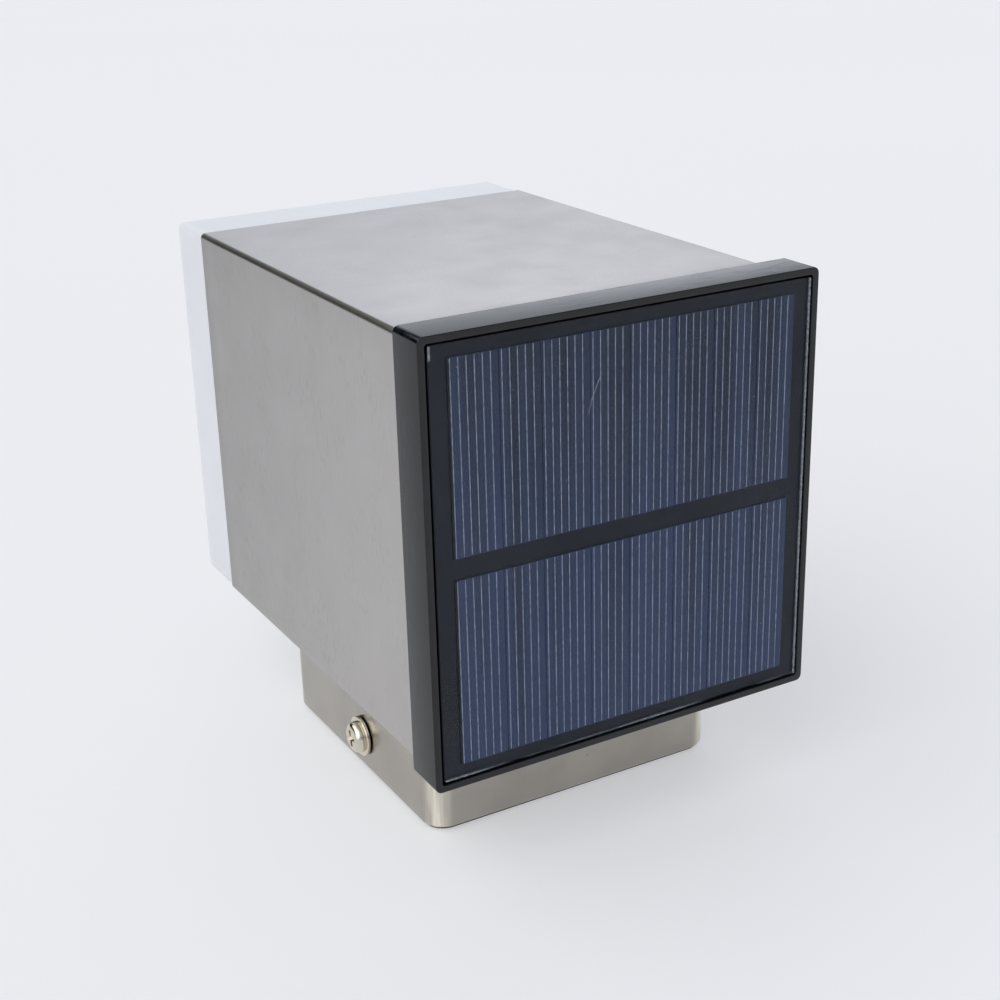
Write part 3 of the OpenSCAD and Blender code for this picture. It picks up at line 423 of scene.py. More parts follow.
def patches(tree, place, size, low=0.0, high=1.0, stretch=(1, 1, 1), detail=2.0, sharp=1.0):
    """A value that wanders between low and high in patches of a real size, which stretch draws out.
    sharp above 1 narrows the step between low and high, so that the patches get an edge."""
    # The noise seldom leaves its middle by more than this
    reach = 0.25 / sharp
    spot = add_node(tree, "Mapping", {"Vector": place, "Scale": [1 / (size * s) for s in stretch]})
    cloud = add_node(tree, "TexNoise", {"Vector": spot, "Scale": 1.0, "Detail": detail})
    return add_node(tree, "MapRange", {
        "Value": cloud, "From Min": 0.5 - reach, "From Max": 0.5 + reach, "To Min": low, "To Max": high})


def specks(tree, place, spacing, radius, strength):
    """A mask of small round specks of a real radius with soft rims, missing from patches of half the area."""
    cells = add_node(tree, "TexVoronoi", {"Vector": place, "Scale": 1 / spacing})
    dots = add_node(tree, "MapRange", {
        "Value": cells, "From Min": radius / spacing, "From Max": 0.5 * radius / spacing, "To Max": strength})
    share = patches(tree, place, 1.7 * spacing, sharp=4.0)
    return add_node(tree, "Math", {0: dots, 1: share}, operation="MULTIPLY")


def near_ends(tree, value, low, high, reach):
    """A mask that rises from 0 to 1 within reach of either end of the span from low to high."""
    half = (high - low) / 2
    offset = add_node(tree, "Math", {0: value, 1: (low + high) / 2}, operation="SUBTRACT")
    far = add_node(tree, "Math", {0: offset}, operation="ABSOLUTE")
    return add_node(tree, "MapRange", {
        "Value": far, "From Min": half - reach, "From Max": half}, interpolation_type="SMOOTHSTEP")


def fold_shade_mask(tree, parts, low, high, reach):
    """A mask that is 1 on the upper long folds of a box and fades to 0 within reach of them."""
    near_top = add_node(tree, "MapRange", {
        "Value": parts[Z], "From Min": high.z - reach, "From Max": high.z}, interpolation_type="SMOOTHSTEP")
    both = add_node(tree, "Math", {
        0: near_ends(tree, parts[X], low.x, high.x, reach), 1: near_top}, operation="MULTIPLY")
    # The middle of a fold, half way along both masks, gets the full 1
    return add_node(tree, "Math", {0: both, 1: 4.0}, operation="MULTIPLY", use_clamp=True)


def curved_scratch(tree, place, parts):
    """A mask of the one long hair scratch on the panel's upper row: a short arc of a circle."""
    middle, radius, lowest, highest = (0.0187, 0.0, 0.0977), 0.030, 0.1045, 0.1138
    half_width, core, strength, ends_reach = 0.00013, 0.00004, 0.3, 0.001
    flat = add_node(tree, "VectorMath", {0: place, 1: (1.0, 0.0, 1.0)}, operation="MULTIPLY")
    reach = add_node(tree, "VectorMath", {0: flat, 1: middle}, operation="DISTANCE")
    off = add_node(tree, "Math", {0: reach, 1: radius}, operation="SUBTRACT")
    gap = add_node(tree, "Math", {0: off}, operation="ABSOLUTE")
    line = add_node(tree, "MapRange", {
        "Value": gap, "From Min": half_width, "From Max": core, "To Max": strength})
    span = near_ends(tree, parts[Z], lowest, highest, ends_reach)
    inside = add_node(tree, "Math", {0: 1.0, 1: span}, operation="SUBTRACT")
    left = add_node(tree, "Math", {0: parts[X], 1: 0.0}, operation="LESS_THAN")
    there = add_node(tree, "Math", {0: inside, 1: left}, operation="MULTIPLY")
    return add_node(tree, "Math", {0: line, 1: there}, operation="MULTIPLY")


def finish_of(name, dark, light, patch, rough, grain, relief, inputs):
    """A finish whose colour wanders from dark to light in patches of a real size, with a range of roughness
    and a fine grain in relief. inputs are the shader's constants."""
    material, tree, place, shader = surface(name, inputs)
    fill(tree, shader, {
        "Base Color": lay_colours(tree, dark, (patches(tree, place, patch), light)),
        "Roughness": patches(tree, place, 3 * grain, *rough),
        "Normal": add_node(tree, "Bump", {"Distance": relief, "Height": patches(tree, place, grain)})})
    return material


def satin_stainless_steel():
    """Stainless sheet brushed across its length: a painted sheen that is lighter at the front and falls off
    towards the rear, faint streaks round the body, sparse and faint upright scratches, a few dark specks, a
    painted highlight along the lower edge, and painted shade along the upper folds. The streaks are drawn 0.5
    mm apart, coarser than the real grit."""
    material, tree, place, shader = surface("satin_stainless_steel", METAL)
    low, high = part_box("body_shell")
    parts = add_node(tree, "SeparateXYZ", {"Vector": place}).outputs
    streaks = patches(tree, place, 0.0005, stretch=(40, 1, 40), detail=3.0)
    clouds = patches(tree, place, 0.016, stretch=(1, 2, 2), detail=4.0)
    # How much of the step from the dark to the light tone is due to streaks, to clouds and to the place on y,
    # which is a painted sheen
    streak_share, cloud_share, front_share, rear_share = 0.13, 0.22, 0.98, -0.05
    grain = add_node(tree, "Math", {0: streaks, 1: streak_share}, operation="MULTIPLY")
    tone = add_node(tree, "Math", {0: clouds, 1: cloud_share, 2: grain}, operation="MULTIPLY_ADD")
    # Painted sheen: the steel is lighter towards the front and darker towards the rear
    painted_reflection_gradient = add_node(tree, "MapRange", {
        "Value": parts[Y], "From Min": low.y, "From Max": high.y, "To Min": front_share,
        "To Max": rear_share})
    total = add_node(tree, "Math", {0: tone, 1: painted_reflection_gradient}, operation="ADD", use_clamp=True)
    scratches = add_node(tree, "Math", {
        0: patches(tree, place, 0.0007, -0.24, 0.11, stretch=(1, 1, 4), sharp=2.0),
        1: patches(tree, place, 0.014, sharp=2.0)}, operation="MULTIPLY")
    dirt = add_node(tree, "Math", {
        0: scratches, 1: specks(tree, place, 0.011, 0.00035, 0.6)}, operation="MAXIMUM")
    # Painted highlight: a thin pale line along the lower edge
    rim = add_node(tree, "MapRange", {
        "Value": parts[Z], "From Min": low.z + 0.0006, "From Max": low.z + 0.0003, "To Max": 0.9})
    fill(tree, shader, {
        "Base Color": lay_colours(
            tree, times(colours().steel, 0.80), (total, colours().steel), (dirt, linear("#4A463F")),
            # Painted highlight on the lower edge
            (rim, linear("#FAF9F7")),
            # Painted shade on the upper folds
            (fold_shade_mask(tree, parts, low, high, sizes().fold_radius), linear("#75736C"))),
        "Roughness": patches(tree, place, 0.012, 0.40, 0.46),
        "Normal": add_node(tree, "Bump", {"Distance": 0.0000012, "Height": streaks})})
    return material


def polished_stainless_steel():
    """Pressed and polished stainless sheet: brighter and warmer than the body, with soft mirror images, faint
    drawing lines up its sides, a few handling marks, and painted highlights streaked up the upright corners."""
    material, tree, place, shader = surface("polished_stainless_steel", METAL)
    low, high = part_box("wall_box")
    parts = add_node(tree, "SeparateXYZ", {"Vector": place}).outputs
    lines = patches(tree, place, 0.0004, stretch=(1, 1, 50))
    marks = patches(tree, place, 0.012, detail=3.0)
    bend = add_node(tree, "Math", {
        0: near_ends(tree, parts[X], low.x, high.x, sizes().box_radius),
        1: near_ends(tree, parts[Y], low.y, high.y, sizes().box_radius)}, operation="MULTIPLY")
    # Painted highlight: pale upright streaks on the rounded corners
    bright = add_node(tree, "Math", {
        0: bend, 1: patches(tree, place, 0.0012, 0.5, 2.0, stretch=(1, 1, 12))},
        operation="MULTIPLY", use_clamp=True)
    fill(tree, shader, {
        "Base Color": lay_colours(
            tree, times(colours().box_steel, 0.86), (marks, colours().box_steel), (bright, linear("#EFE9D9")),
            (specks(tree, place, 0.009, 0.0003, 0.7), linear("#3F3A32"))),
        "Roughness": patches(tree, place, 0.005, 0.17, 0.25),
        "Normal": add_node(tree, "Bump", {"Distance": 0.000003, "Height": lines})})
    return material


def nickel_plated_steel():
    """Bright nickel plate on machined steel: warm white and nearly mirror-smooth."""
    nickel = colours().nickel
    return finish_of(
        "nickel_plated_steel", times(nickel, 0.8), nickel, 0.002, (0.12, 0.24), 0.0004, 0.000002, METAL)


def black_abs():
    """Dyed black ABS with a fine spark-eroded grain: nearly black, with a grey sheen at a low angle, specks
    of dust, and pale scuffs drawn out along the edges."""
    material, tree, place, shader = surface("black_abs", {"IOR": 1.46})
    scuffs = patches(tree, place, 0.0012, stretch=(5, 1, 3), detail=5.0, sharp=2.5)
    worn = add_node(tree, "Math", {
        0: scuffs, 1: patches(tree, place, 0.009, sharp=2.0)}, operation="MULTIPLY")
    # A scuff stands this many times as high as the grain
    scuff_height = 4.0
    relief = add_node(tree, "Math", {
        0: worn, 1: scuff_height, 2: patches(tree, place, 0.0003)}, operation="MULTIPLY_ADD")
    fill(tree, shader, {
        "Base Color": lay_colours(
            tree, colours().bezel, (worn, times(colours().bezel, 3.2)),
            (specks(tree, place, 0.006, 0.00022, 0.5), linear("#8B8D8F"))),
        "Roughness": add_node(tree, "MapRange", {"Value": worn, "To Min": 0.16, "To Max": 0.28}),
        "Normal": add_node(tree, "Bump", {"Distance": 0.000003, "Height": relief})})
    return material


def black_fibre_board():
    """Black lacquered glass-fibre board: nearly black with a faint weave, 0.9 mm wide as on real cloth."""
    board = colours().board
    return finish_of(
        "black_fibre_board", board, times(board, 1.7), 0.012, (0.30, 0.38), 0.0009, 0.000004, {"IOR": 1.31})


def monocrystalline_silicon():
    """Etched silicon under clear resin: dark blue, in upright bands that differ a little from strip to strip
    and finger to finger, with a painted reflection that makes the lower row lighter, a dark margin on the
    left and a few pale dots."""
    material, tree, place, shader = surface("monocrystalline_silicon", {"IOR": 1.33})
    low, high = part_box("lower_cells")[0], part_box("upper_cells")[1]
    parts = add_node(tree, "SeparateXYZ", {"Vector": place}).outputs
    tone = add_node(tree, "Math", {
        0: patches(tree, place, 0.0035, 0.0, 0.85, stretch=(1, 60, 60), detail=3.0),
        1: patches(tree, place, 0.0006, 0.0, 0.12, stretch=(1, 1, 6))}, operation="ADD")
    # Painted reflection: the cells get lighter towards the bottom of the panel
    painted_reflection_gradient = add_node(tree, "MapRange", {
        "Value": parts[Z], "From Min": low.z, "From Max": high.z, "To Min": 0.65, "To Max": -0.2})
    total = add_node(tree, "Math", {0: tone, 1: painted_reflection_gradient}, operation="ADD", use_clamp=True)
    margin = add_node(tree, "MapRange", {
        "Value": parts[X], "From Min": low.x + 0.00055, "From Max": low.x + 0.0004})
    fill(tree, shader, {
        "Base Color": lay_colours(
            tree, colours().cell, (total, colours().cell_light), (margin, colours().board),
            (specks(tree, place, 0.0055, 0.00018, 0.5), linear("#8C94A8"))),
        "Roughness": patches(tree, place, 0.004, 0.32, 0.42)})
    return material


def silver_paste():
    """Screen-printed silver paste, fired on: pale grey-blue, matt, in beads where the screen left more."""
    material, tree, place, shader = surface("silver_paste", {"Metallic": 0.0, "IOR": 1.5})
    beads = patches(tree, place, 0.0011, stretch=(4, 4, 1), detail=3.0, sharp=1.6)
    fill(tree, shader, {
        "Base Color": lay_colours(tree, times(colours().silver, 0.38), (beads, colours().silver)),
        "Roughness": patches(tree, place, 0.001, 0.35, 0.55)})
    return material


def clear_laminate():
    """Clear laminated film: hardly seen over the cells, with a pale line along the right edge, along parts of
    the lower edge and at the upper left corner that is partly whitened film and partly a painted edge glint,
    with fine dust and one curved hair scratch."""
    material, tree, place, shader = surface("clear_laminate", {"IOR": 1.49, "Base Color": colours().veil})
    low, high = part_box("panel_cover")
    parts = add_node(tree, "SeparateXYZ", {"Vector": place}).outputs
    # Along each edge: the axis across it, where the pale line of whitened film and painted glint starts, and
    # where it is full
    right, bottom, left, upper = [
        add_node(tree, "MapRange", {"Value": parts[axis], "From Min": clear, "From Max": white})
        for axis, clear, white in (
            (X, high.x - 0.0007, high.x - 0.0003), (Z, low.z + 0.0006, low.z + 0.0002),
            (X, low.x + 0.0006, low.x + 0.0003), (Z, high.z - 0.0032, high.z - 0.0024))]
    # Pale line along parts of the lower edge: partly whitened film, partly a painted edge glint
    lower_glint_and_lift = add_node(tree, "Math", {
        0: bottom, 1: patches(tree, place, 0.020, sharp=2.0)}, operation="MULTIPLY")
    # The same partly painted glint at the upper left corner
    corner = add_node(tree, "Math", {0: left, 1: upper}, operation="MULTIPLY")
    # The right edge's pale line is likewise partly a painted glint
    edge = right
    for mask in (lower_glint_and_lift, corner):
        edge = add_node(tree, "Math", {0: edge, 1: mask}, operation="MAXIMUM")
    broken = patches(tree, place, 0.0007, 0.15, 0.70, detail=4.0)
    marks = add_node(tree, "Math", {0: edge, 1: broken}, operation="MULTIPLY")
    for mask in (specks(tree, place, 0.005, 0.0002, 0.5), curved_scratch(tree, place, parts)):
        marks = add_node(tree, "Math", {0: marks, 1: mask}, operation="MAXIMUM")
    veil = add_node(tree, "Math", {
        0: marks, 1: patches(tree, place, 0.03, 0.006, 0.018)}, operation="ADD", use_clamp=True)
    fill(tree, shader, {"Alpha": veil, "Roughness": patches(tree, place, 0.01, 0.08, 0.16)})
    return material


def opal_polycarbonate():
    """Opal polycarbonate, blasted on the outside: milky white, takes light in and gives it back softly."""
    opal = colours().opal
    return finish_of(
        "opal_polycarbonate", times(opal, 0.965), opal, 0.02, (0.42, 0.5), 0.0004, 0.000004,
        milky(1.58, 0.35, 0.004))


# The plain finishes: the darker and the lighter colour, the size of the patches between them, the range of
# roughness, the size of the grain and the height of its relief, and the shader's constants
PLAIN_FINISHES = {
    # Cold-rolled steel as it leaves the mill: grey, dull, with soft clouds
    "mill_steel": ("#A2A3A4", "#BEBFC1", 0.006, (0.32, 0.46), 0.0006, 0.000004, METAL),
    # Zinc plate with a clear passivation: cool grey with faint blue and straw clouds
    "zinc_plated_steel": ("#B9BAB4", "#C3CAD2", 0.004, (0.25, 0.38), 0.0005, 0.000003, METAL),
    # Drawn aluminium of a blind rivet: pale and satin
    "rivet_aluminium": ("#C4C5C6", "#D9DADB", 0.002, (0.3, 0.42), 0.0004, 0.000004, METAL),
    # Moulded black rubber: matt, with a fine powdery bloom
    "moulded_rubber": ("#161617", "#232324", 0.004, (0.72, 0.86), 0.0005, 0.00001, {"IOR": 1.52}),
    # Cured silicone glue: translucent greyish white, smooth and a little uneven
    "silicone_adhesive": ("#C6C6C3", "#D9D9D6", 0.003, (0.28, 0.4), 0.0012, 0.00003, SILICONE),
    # Moulded clear silicone of a seal: pale and soft-looking
    "silicone_rubber": ("#DCDCDA", "#E9E9E8", 0.003, (0.4, 0.5), 0.0006, 0.00001, SILICONE),
    # Black potting resin: glossy, with shallow shrink waves
    "epoxy_potting": ("#101011", "#1A1A1C", 0.002, (0.12, 0.2), 0.002, 0.00005, {"IOR": 1.55}),
    # Moulded grey ABS of the chassis: matt, with soft flow marks
    "grey_abs": ("#3A3B3D", "#434547", 0.012, (0.45, 0.55), 0.0006, 0.00001, {"IOR": 1.52}),
    # Moulded black polypropylene of the cell holder and the switch: waxy black
    "black_polypropylene": ("#19191B", "#222224", 0.006, (0.38, 0.5), 0.0005, 0.000008, {"IOR": 1.49}),
    # PVC shrink sleeve of the cell, bare of any print: glossy blue, a little uneven
    "shrink_sleeve": ("#37639A", "#4674AE", 0.01, (0.2, 0.3), 0.0015, 0.00002, {"IOR": 1.53}),
    # Rolled nickel strip and spring wire of the contacts: bright, with a warm cast
    "nickel_strip": ("#C4C1B8", "#DBD8D0", 0.003, (0.18, 0.3), 0.0004, 0.000002, METAL),
    # Punched brass of the switch's terminals: yellow with a light tarnish
    "brass_strip": ("#B39B57", "#D2BC78", 0.001, (0.25, 0.4), 0.0003, 0.000002, METAL),
    # Green solder mask over glass fibre: glossy, with copper areas that show as a lighter green
    "green_solder_mask": (
        "#0F4A33", "#1E6A49", 0.006, (0.22, 0.32), 0.0009, 0.000006,
        {"IOR": 1.5, "Coat Weight": 0.4, "Coat Roughness": 0.15}),
    # White solder mask of the light board: bright and slightly glossy, to throw light forward
    "white_solder_mask": ("#DDE0E3", "#ECEEF0", 0.006, (0.28, 0.38), 0.0009, 0.000005, {"IOR": 1.5}),
    # Black epoxy moulding compound of the chips: matt with a sandy grain
    "moulding_compound": ("#1C1C1E", "#262628", 0.002, (0.5, 0.62), 0.0003, 0.000006, {"IOR": 1.55}),
    # Bare drawn aluminium can: bright
    "capacitor_aluminium": ("#BFC0C2", "#D3D4D6", 0.002, (0.22, 0.34), 0.0003, 0.000003, METAL),
    # Natural nylon of the plugs: creamy
    "natural_nylon": ("#D6CFBA", "#E2DDCB", 0.003, (0.35, 0.45), 0.0005, 0.000008, {"IOR": 1.53}),
    # White nylon of the switch's slider: plain and satin
    "white_nylon": ("#D2D2D0", "#DEDEDC", 0.002, (0.3, 0.42), 0.0004, 0.000006, {"IOR": 1.53}),
    # Moulded white ABS of the light tray: bright and satin, to throw light forward
    "white_abs": ("#DFE1E1", "#ECEDED", 0.01, (0.4, 0.5), 0.0006, 0.000008, {"IOR": 1.52}),
    # Yellow phosphor in clear resin over each light chip
    "phosphor_resin": ("#D9BE5B", "#EBD67E", 0.0012, (0.2, 0.3), 0.0004, 0.000006, {"IOR": 1.5}),
    # PVC insulation of the inner leads: satin, with faint handling marks
    "red_insulation": ("#861C1A", "#A12825", *INSULATION),
    "blue_insulation": ("#1D3686", "#2A489E", *INSULATION),
    "black_insulation": ("#161617", "#202022", *INSULATION),
}
DETAILED_FINISHES = (
    satin_stainless_steel, polished_stainless_steel, nickel_plated_steel, black_abs, black_fibre_board,
    monocrystalline_silicon, silver_paste, clear_laminate, opal_polycarbonate)
# The finish of each of the CAD nodes' material slots
FINISHES = {
    "brushed_steel_body": "satin_stainless_steel",
    "polished_steel_box": "polished_stainless_steel",
    "plain_steel": "mill_steel",
    "rivet_aluminium": "rivet_aluminium",
    "zinc_plate": "zinc_plated_steel",
    "nickel_plate": "nickel_plated_steel",
    "zinc_screws": "zinc_plated_steel",
    "black_plastic_bezel": "black_abs",
    "black_rubber": "moulded_rubber",
    "silicone_glue": "silicone_adhesive",
    "black_board": "black_fibre_board",
    "silicon_cell": "monocrystalline_silicon",
    "clear_cover": "clear_laminate",
    "potting": "epoxy_potting",
    "grey_plastic": "grey_abs",
    "black_plastic_inner": "black_polypropylene",
    "battery_sleeve": "shrink_sleeve",
    "nickel_contact": "nickel_strip",
    "green_board": "green_solder_mask",
    "chip_resin": "moulding_compound",
    "capacitor_can": "capacitor_aluminium",
    "nylon_connector": "natural_nylon",
    "white_nylon": "white_nylon",
    "brass_terminal": "brass_strip",
    "white_plastic": "white_abs",
    "white_board": "white_solder_mask",
    "led_phosphor": "phosphor_resin",
    "opal_acrylic": "opal_polycarbonate",
    "clear_silicone": "silicone_rubber",
    "red_lead": "red_insulation",
    "blue_lead": "blue_insulation",
    "black_lead": "black_insulation",
}
made = {}


def finish(name):
    """The material of that name, made once."""
    if name not in made:
        makers = {make.__name__: make for make in DETAILED_FINISHES}
        if name in makers:
            made[name] = makers[name]()
        else:
            dark, light, *rest = PLAIN_FINISHES[name]
            made[name] = finish_of(name, linear(dark), linear(light), *rest)
    return made[name]


# Pieces

class WALLLIGHT_OT_body(bpy.types.Operator):
    """Folds the square body from steel sheet and cuts the holes in its wall side"""
    bl_idname = "wall_light.body"
    bl_label = "Steel body"

    def execute(self, context):
        size = sizes()
        low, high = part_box("body_shell")
        body = add_block("folded_body", low, high)
        pick(body, "FACE", lambda face: lies(face, Y, low.y) or lies(face, Y, high.y))
        bpy.ops.mesh.delete(type="FACE")
        round_off(body, lambda edge: runs(edge, Y), size.fold_radius, 6)
        make_sheet(body, (9, 11, 9), size.wave_height, size.wave_length)
        self.cut_wall_side(body, low.z)
        dress(body, "light", "brushed_steel_body", "body_shell")
        return {"FINISHED"}

    def cut_wall_side(self, body, level):
        """Cuts the rivet holes, the switch's slot and its screws' holes through the sheet at that height."""
        size = sizes()
        deep = 3 * size.sheet
        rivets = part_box("box_rivets")[1]
        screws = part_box("switch_screws")[1]
        switch_y = middle_of("switch_slider").y
        holes = [(side * (rivets.x - size.rivet_head), way * (rivets.y - size.rivet_head), size.rivet_hole)
                 for side in (-1, 1) for way in (-1, 1)]
        holes += [(side * (screws.x - size.small_head), switch_y, size.small_hole) for side in (-1, 1)]
        for x, y, radius in holes:
            drill(body, radius, (x, y, level - deep), (x, y, level + deep))
        half = Vector((size.slot_width / 2, size.slot_depth / 2, deep))
        place = Vector((0, switch_y, level))
        combine(body, add_block("slot", place - half, place + half), "DIFFERENCE")


class WALLLIGHT_OT_wall_box(bpy.types.Operator):
    """Presses the wall box from steel sheet, with its rim, its mouth and the holes for the clamp screws"""
    bl_idname = "wall_light.wall_box"
    bl_label = "Wall box"

    def execute(self, context):
        size = sizes()
        low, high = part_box("wall_box")
        box = add_block("pressed_wall_box", low, high)
        pick(box, "FACE", lambda face: lies(face, Z, high.z))
        bpy.ops.mesh.delete(type="FACE")
        round_off(box, lambda edge: runs(edge, Z), size.box_radius, 12)
        round_off(box, lambda edge: lies(edge, Z, low.z), size.box_edge_radius, 6)
        # Pressing leaves higher and shorter waves than folding
        make_sheet(box, (12, 12, 5), 1.6 * size.wave_height, 0.7 * size.wave_length)
        rim = Vector((size.box_rim, size.box_rim, -5 * size.sheet))
        mouth = add_block("mouth", low + rim, (high.x - rim.x, high.y - rim.y, low.z + 2 * size.sheet))
        round_off(mouth, lambda edge: runs(edge, Z), size.mouth_radius, 8)
        combine(box, mouth, "DIFFERENCE")
        _, y, z = middle_of("left_clamp_washer")
        drill(box, size.clamp_hole_radius, (2 * low.x, y, z), (2 * high.x, y, z), size.round_steps)
        dress(box, "light", "polished_steel_box", "wall_box")
        return {"FINISHED"}


class WALLLIGHT_OT_bezel(bpy.types.Operator):
    """Moulds the black head: its lip, the panel's pocket, its spigot with the seal's groove and its bosses"""
    bl_idname = "wall_light.bezel"
    bl_label = "Black head"

    def execute(self, context):
        low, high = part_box("solar_bezel")
        front, back = low.y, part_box("body_shell")[0].y
        head = add_block("moulded_head", low, (high.x, back, high.z))
        self.sink_pocket(head, front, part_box("panel_glue")[1].y)
        self.raise_spigot(head, back)
        self.round_edges(head, low, high, front, back)
        self.add_bosses(head)
        dress(head, "light", "black_plastic_bezel", "solar_bezel")
        return {"FINISHED"}

    def sink_pocket(self, head, front, floor):
        """Leaves the lip round the front face and sinks the rest to the floor under the panel."""
        pick(head, "FACE", lambda face: lies(face, Y, front))
        bpy.ops.mesh.inset(thickness=sizes().lip_width, depth=0)
        draw_out(floor - front)

    def raise_spigot(self, head, back):
        """Grows the spigot from the back, steps it in and out for the seal, and hollows it to the floor."""
        size = sizes()
        # The spigot has the light tray's outline, as both fit the same body
        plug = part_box("led_tray")[1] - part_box("led_tray")[0]
        centre = middle_of("led_tray")
        seal_low, seal_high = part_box("head_seal")
        end = back + size.spigot_length
        pick(head, "FACE", lambda face: lies(face, Y, back))
        bpy.ops.mesh.inset(thickness=size.seal_bite, depth=0)
        self.fit_face(head, plug.x, plug.z, centre)
        draw_out(seal_low.y - back)
        bpy.ops.mesh.extrude_region_move()
        self.fit_face(head, plug.x - 2 * size.seal_bite, plug.z - 2 * size.seal_bite, centre)
        draw_out(seal_high.y - seal_low.y)
        bpy.ops.mesh.extrude_region_move()
        self.fit_face(head, plug.x, plug.z, centre)
        draw_out(end - seal_high.y)
        bpy.ops.mesh.inset(thickness=size.spigot_wall, depth=0)
        draw_out(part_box("panel_glue")[1].y + size.bezel_floor - end)

    def fit_face(self, head, width, height, centre):
        """Stretches and moves the selected face to a width, a height and a middle."""
        mesh = bmesh.from_edit_mesh(head.data)
        places = [v.co.copy() for v in mesh.verts if v.select]
        low = Vector([min(p[axis] for p in places) for axis in (X, Y, Z)])
        high = Vector([max(p[axis] for p in places) for axis in (X, Y, Z)])
        old = (low + high) / 2
        bpy.ops.transform.resize(
            value=(width / (high.x - low.x), 1, height / (high.z - low.z)), center_override=old)
        bpy.ops.transform.translate(value=(centre.x - old.x, 0, centre.z - old.z))

    def round_edges(self, head, low, high, front, back):
        """Rounds the long corners of the head, of its lip and of its spigot, and then the front edges."""
        size = sizes()
        for inset, radius, segments in ((0, size.bezel_radius, 6), (size.lip_width, size.lip_corner, 4)):
            sides = (low.x + inset, high.x - inset)
            round_off(head, lambda edge: runs(edge, Y) and min(abs(middle(edge).x - x) for x in sides) < SAME,
                      radius, segments)
        round_off(head, lambda edge: runs(edge, Y) and middle(edge).y > back, size.spigot_corner, 3)
        round_off(head, lambda edge: lies(edge, Y, front) and turns(edge), size.bezel_soft, 3)

    def add_bosses(self, head):
        """Welds on the four bosses, bores them, and cuts the hole for the panel's lead."""
        size = sizes()
        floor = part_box("panel_glue")[1].y
        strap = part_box("front_straps")[0].y
        low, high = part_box("bezel_screws")
        centre = middle_of("bezel_screws")
        reach = (high - low) / 2 - Vector((size.screw_head, 0, size.screw_head))
        for side in (-1, 1):
            for way in (-1, 1):
                x, z = centre.x + side * reach.x, centre.z + way * reach.z
                root, bottom = floor + size.bezel_floor / 2, floor + 1.5 * size.bezel_floor
                boss = add_rod("boss", size.boss_radius, (x, root, z), (x, strap, z), HOLE_SIDES)
                combine(head, boss, "UNION")
                drill(head, size.bore_radius, (x, bottom, z), (x, 0, z))
        x, _, z = middle_of("panel_junction")
        start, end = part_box("panel_junction")[0].y, floor + 2 * size.bezel_floor
        drill(head, size.lead_hole, (x, start, z), (x, end, z))


class WALLLIGHT_OT_panel(bpy.types.Operator):
    """Prints the silver fingers on the cells and lays the clear film over them"""
    bl_idname = "wall_light.panel"
    bl_label = "Solar panel"

    def execute(self, context):
        for row in ("upper", "lower"):
            dress(self.print_fingers(row), "light", "nickel_contact", look="silver_paste")
        self.lay_film()
        return {"FINISHED"}

    def print_fingers(self, row):
        """The fingers of one row of cells: one is modelled, and the others are its copies."""
        size = sizes()
        low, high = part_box(row + "_cells")
        row_width = high.x - low.x + size.strip_gap
        pitch = (row_width - len(STRIP_FINGERS) * size.strip_margin) / sum(STRIP_FINGERS)
        x = low.x + size.finger_inset
        half, crest = size.finger_width / 2, low.y - size.finger_height
        first = add_block(
            row + "_row_fingers", (x - half, crest, low.z + size.finger_end),
            (x + half, low.y, high.z - size.finger_end))
        # Paste settles into a low dome, so the rounding takes up most of its height
        round_off(first, lambda edge: runs(edge, Z) and lies(edge, Y, crest), 0.8 * size.finger_height, 2)
        pieces = [first]
        strip_left = low.x
        for fingers in STRIP_FINGERS:
            for finger in range(fingers):
                step = strip_left + size.finger_inset + finger * pitch - x
                if step > SAME:
                    copy = copied(first, first.name + "_copy")
                    bpy.ops.transform.translate(value=(step, 0, 0))
                    pieces.append(settle(copy))
            strip_left += fingers * pitch + size.strip_margin
        return joined(pieces)

    def lay_film(self):
        """The clear film, just clear of the fingers, with its front edge rounded by the cutting roller."""
        size = sizes()
        low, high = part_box("panel_cover")
        film = add_block("laminate_film", low, (high.x, high.y - size.cover_gap, high.z))
        round_off(film, lambda edge: runs(edge, Y), 2 * size.cover_soft, 3)
        round_off(film, lambda edge: lies(edge, Y, low.y), size.cover_soft, 2)
        dress(film, "light", "clear_cover", "panel_cover")


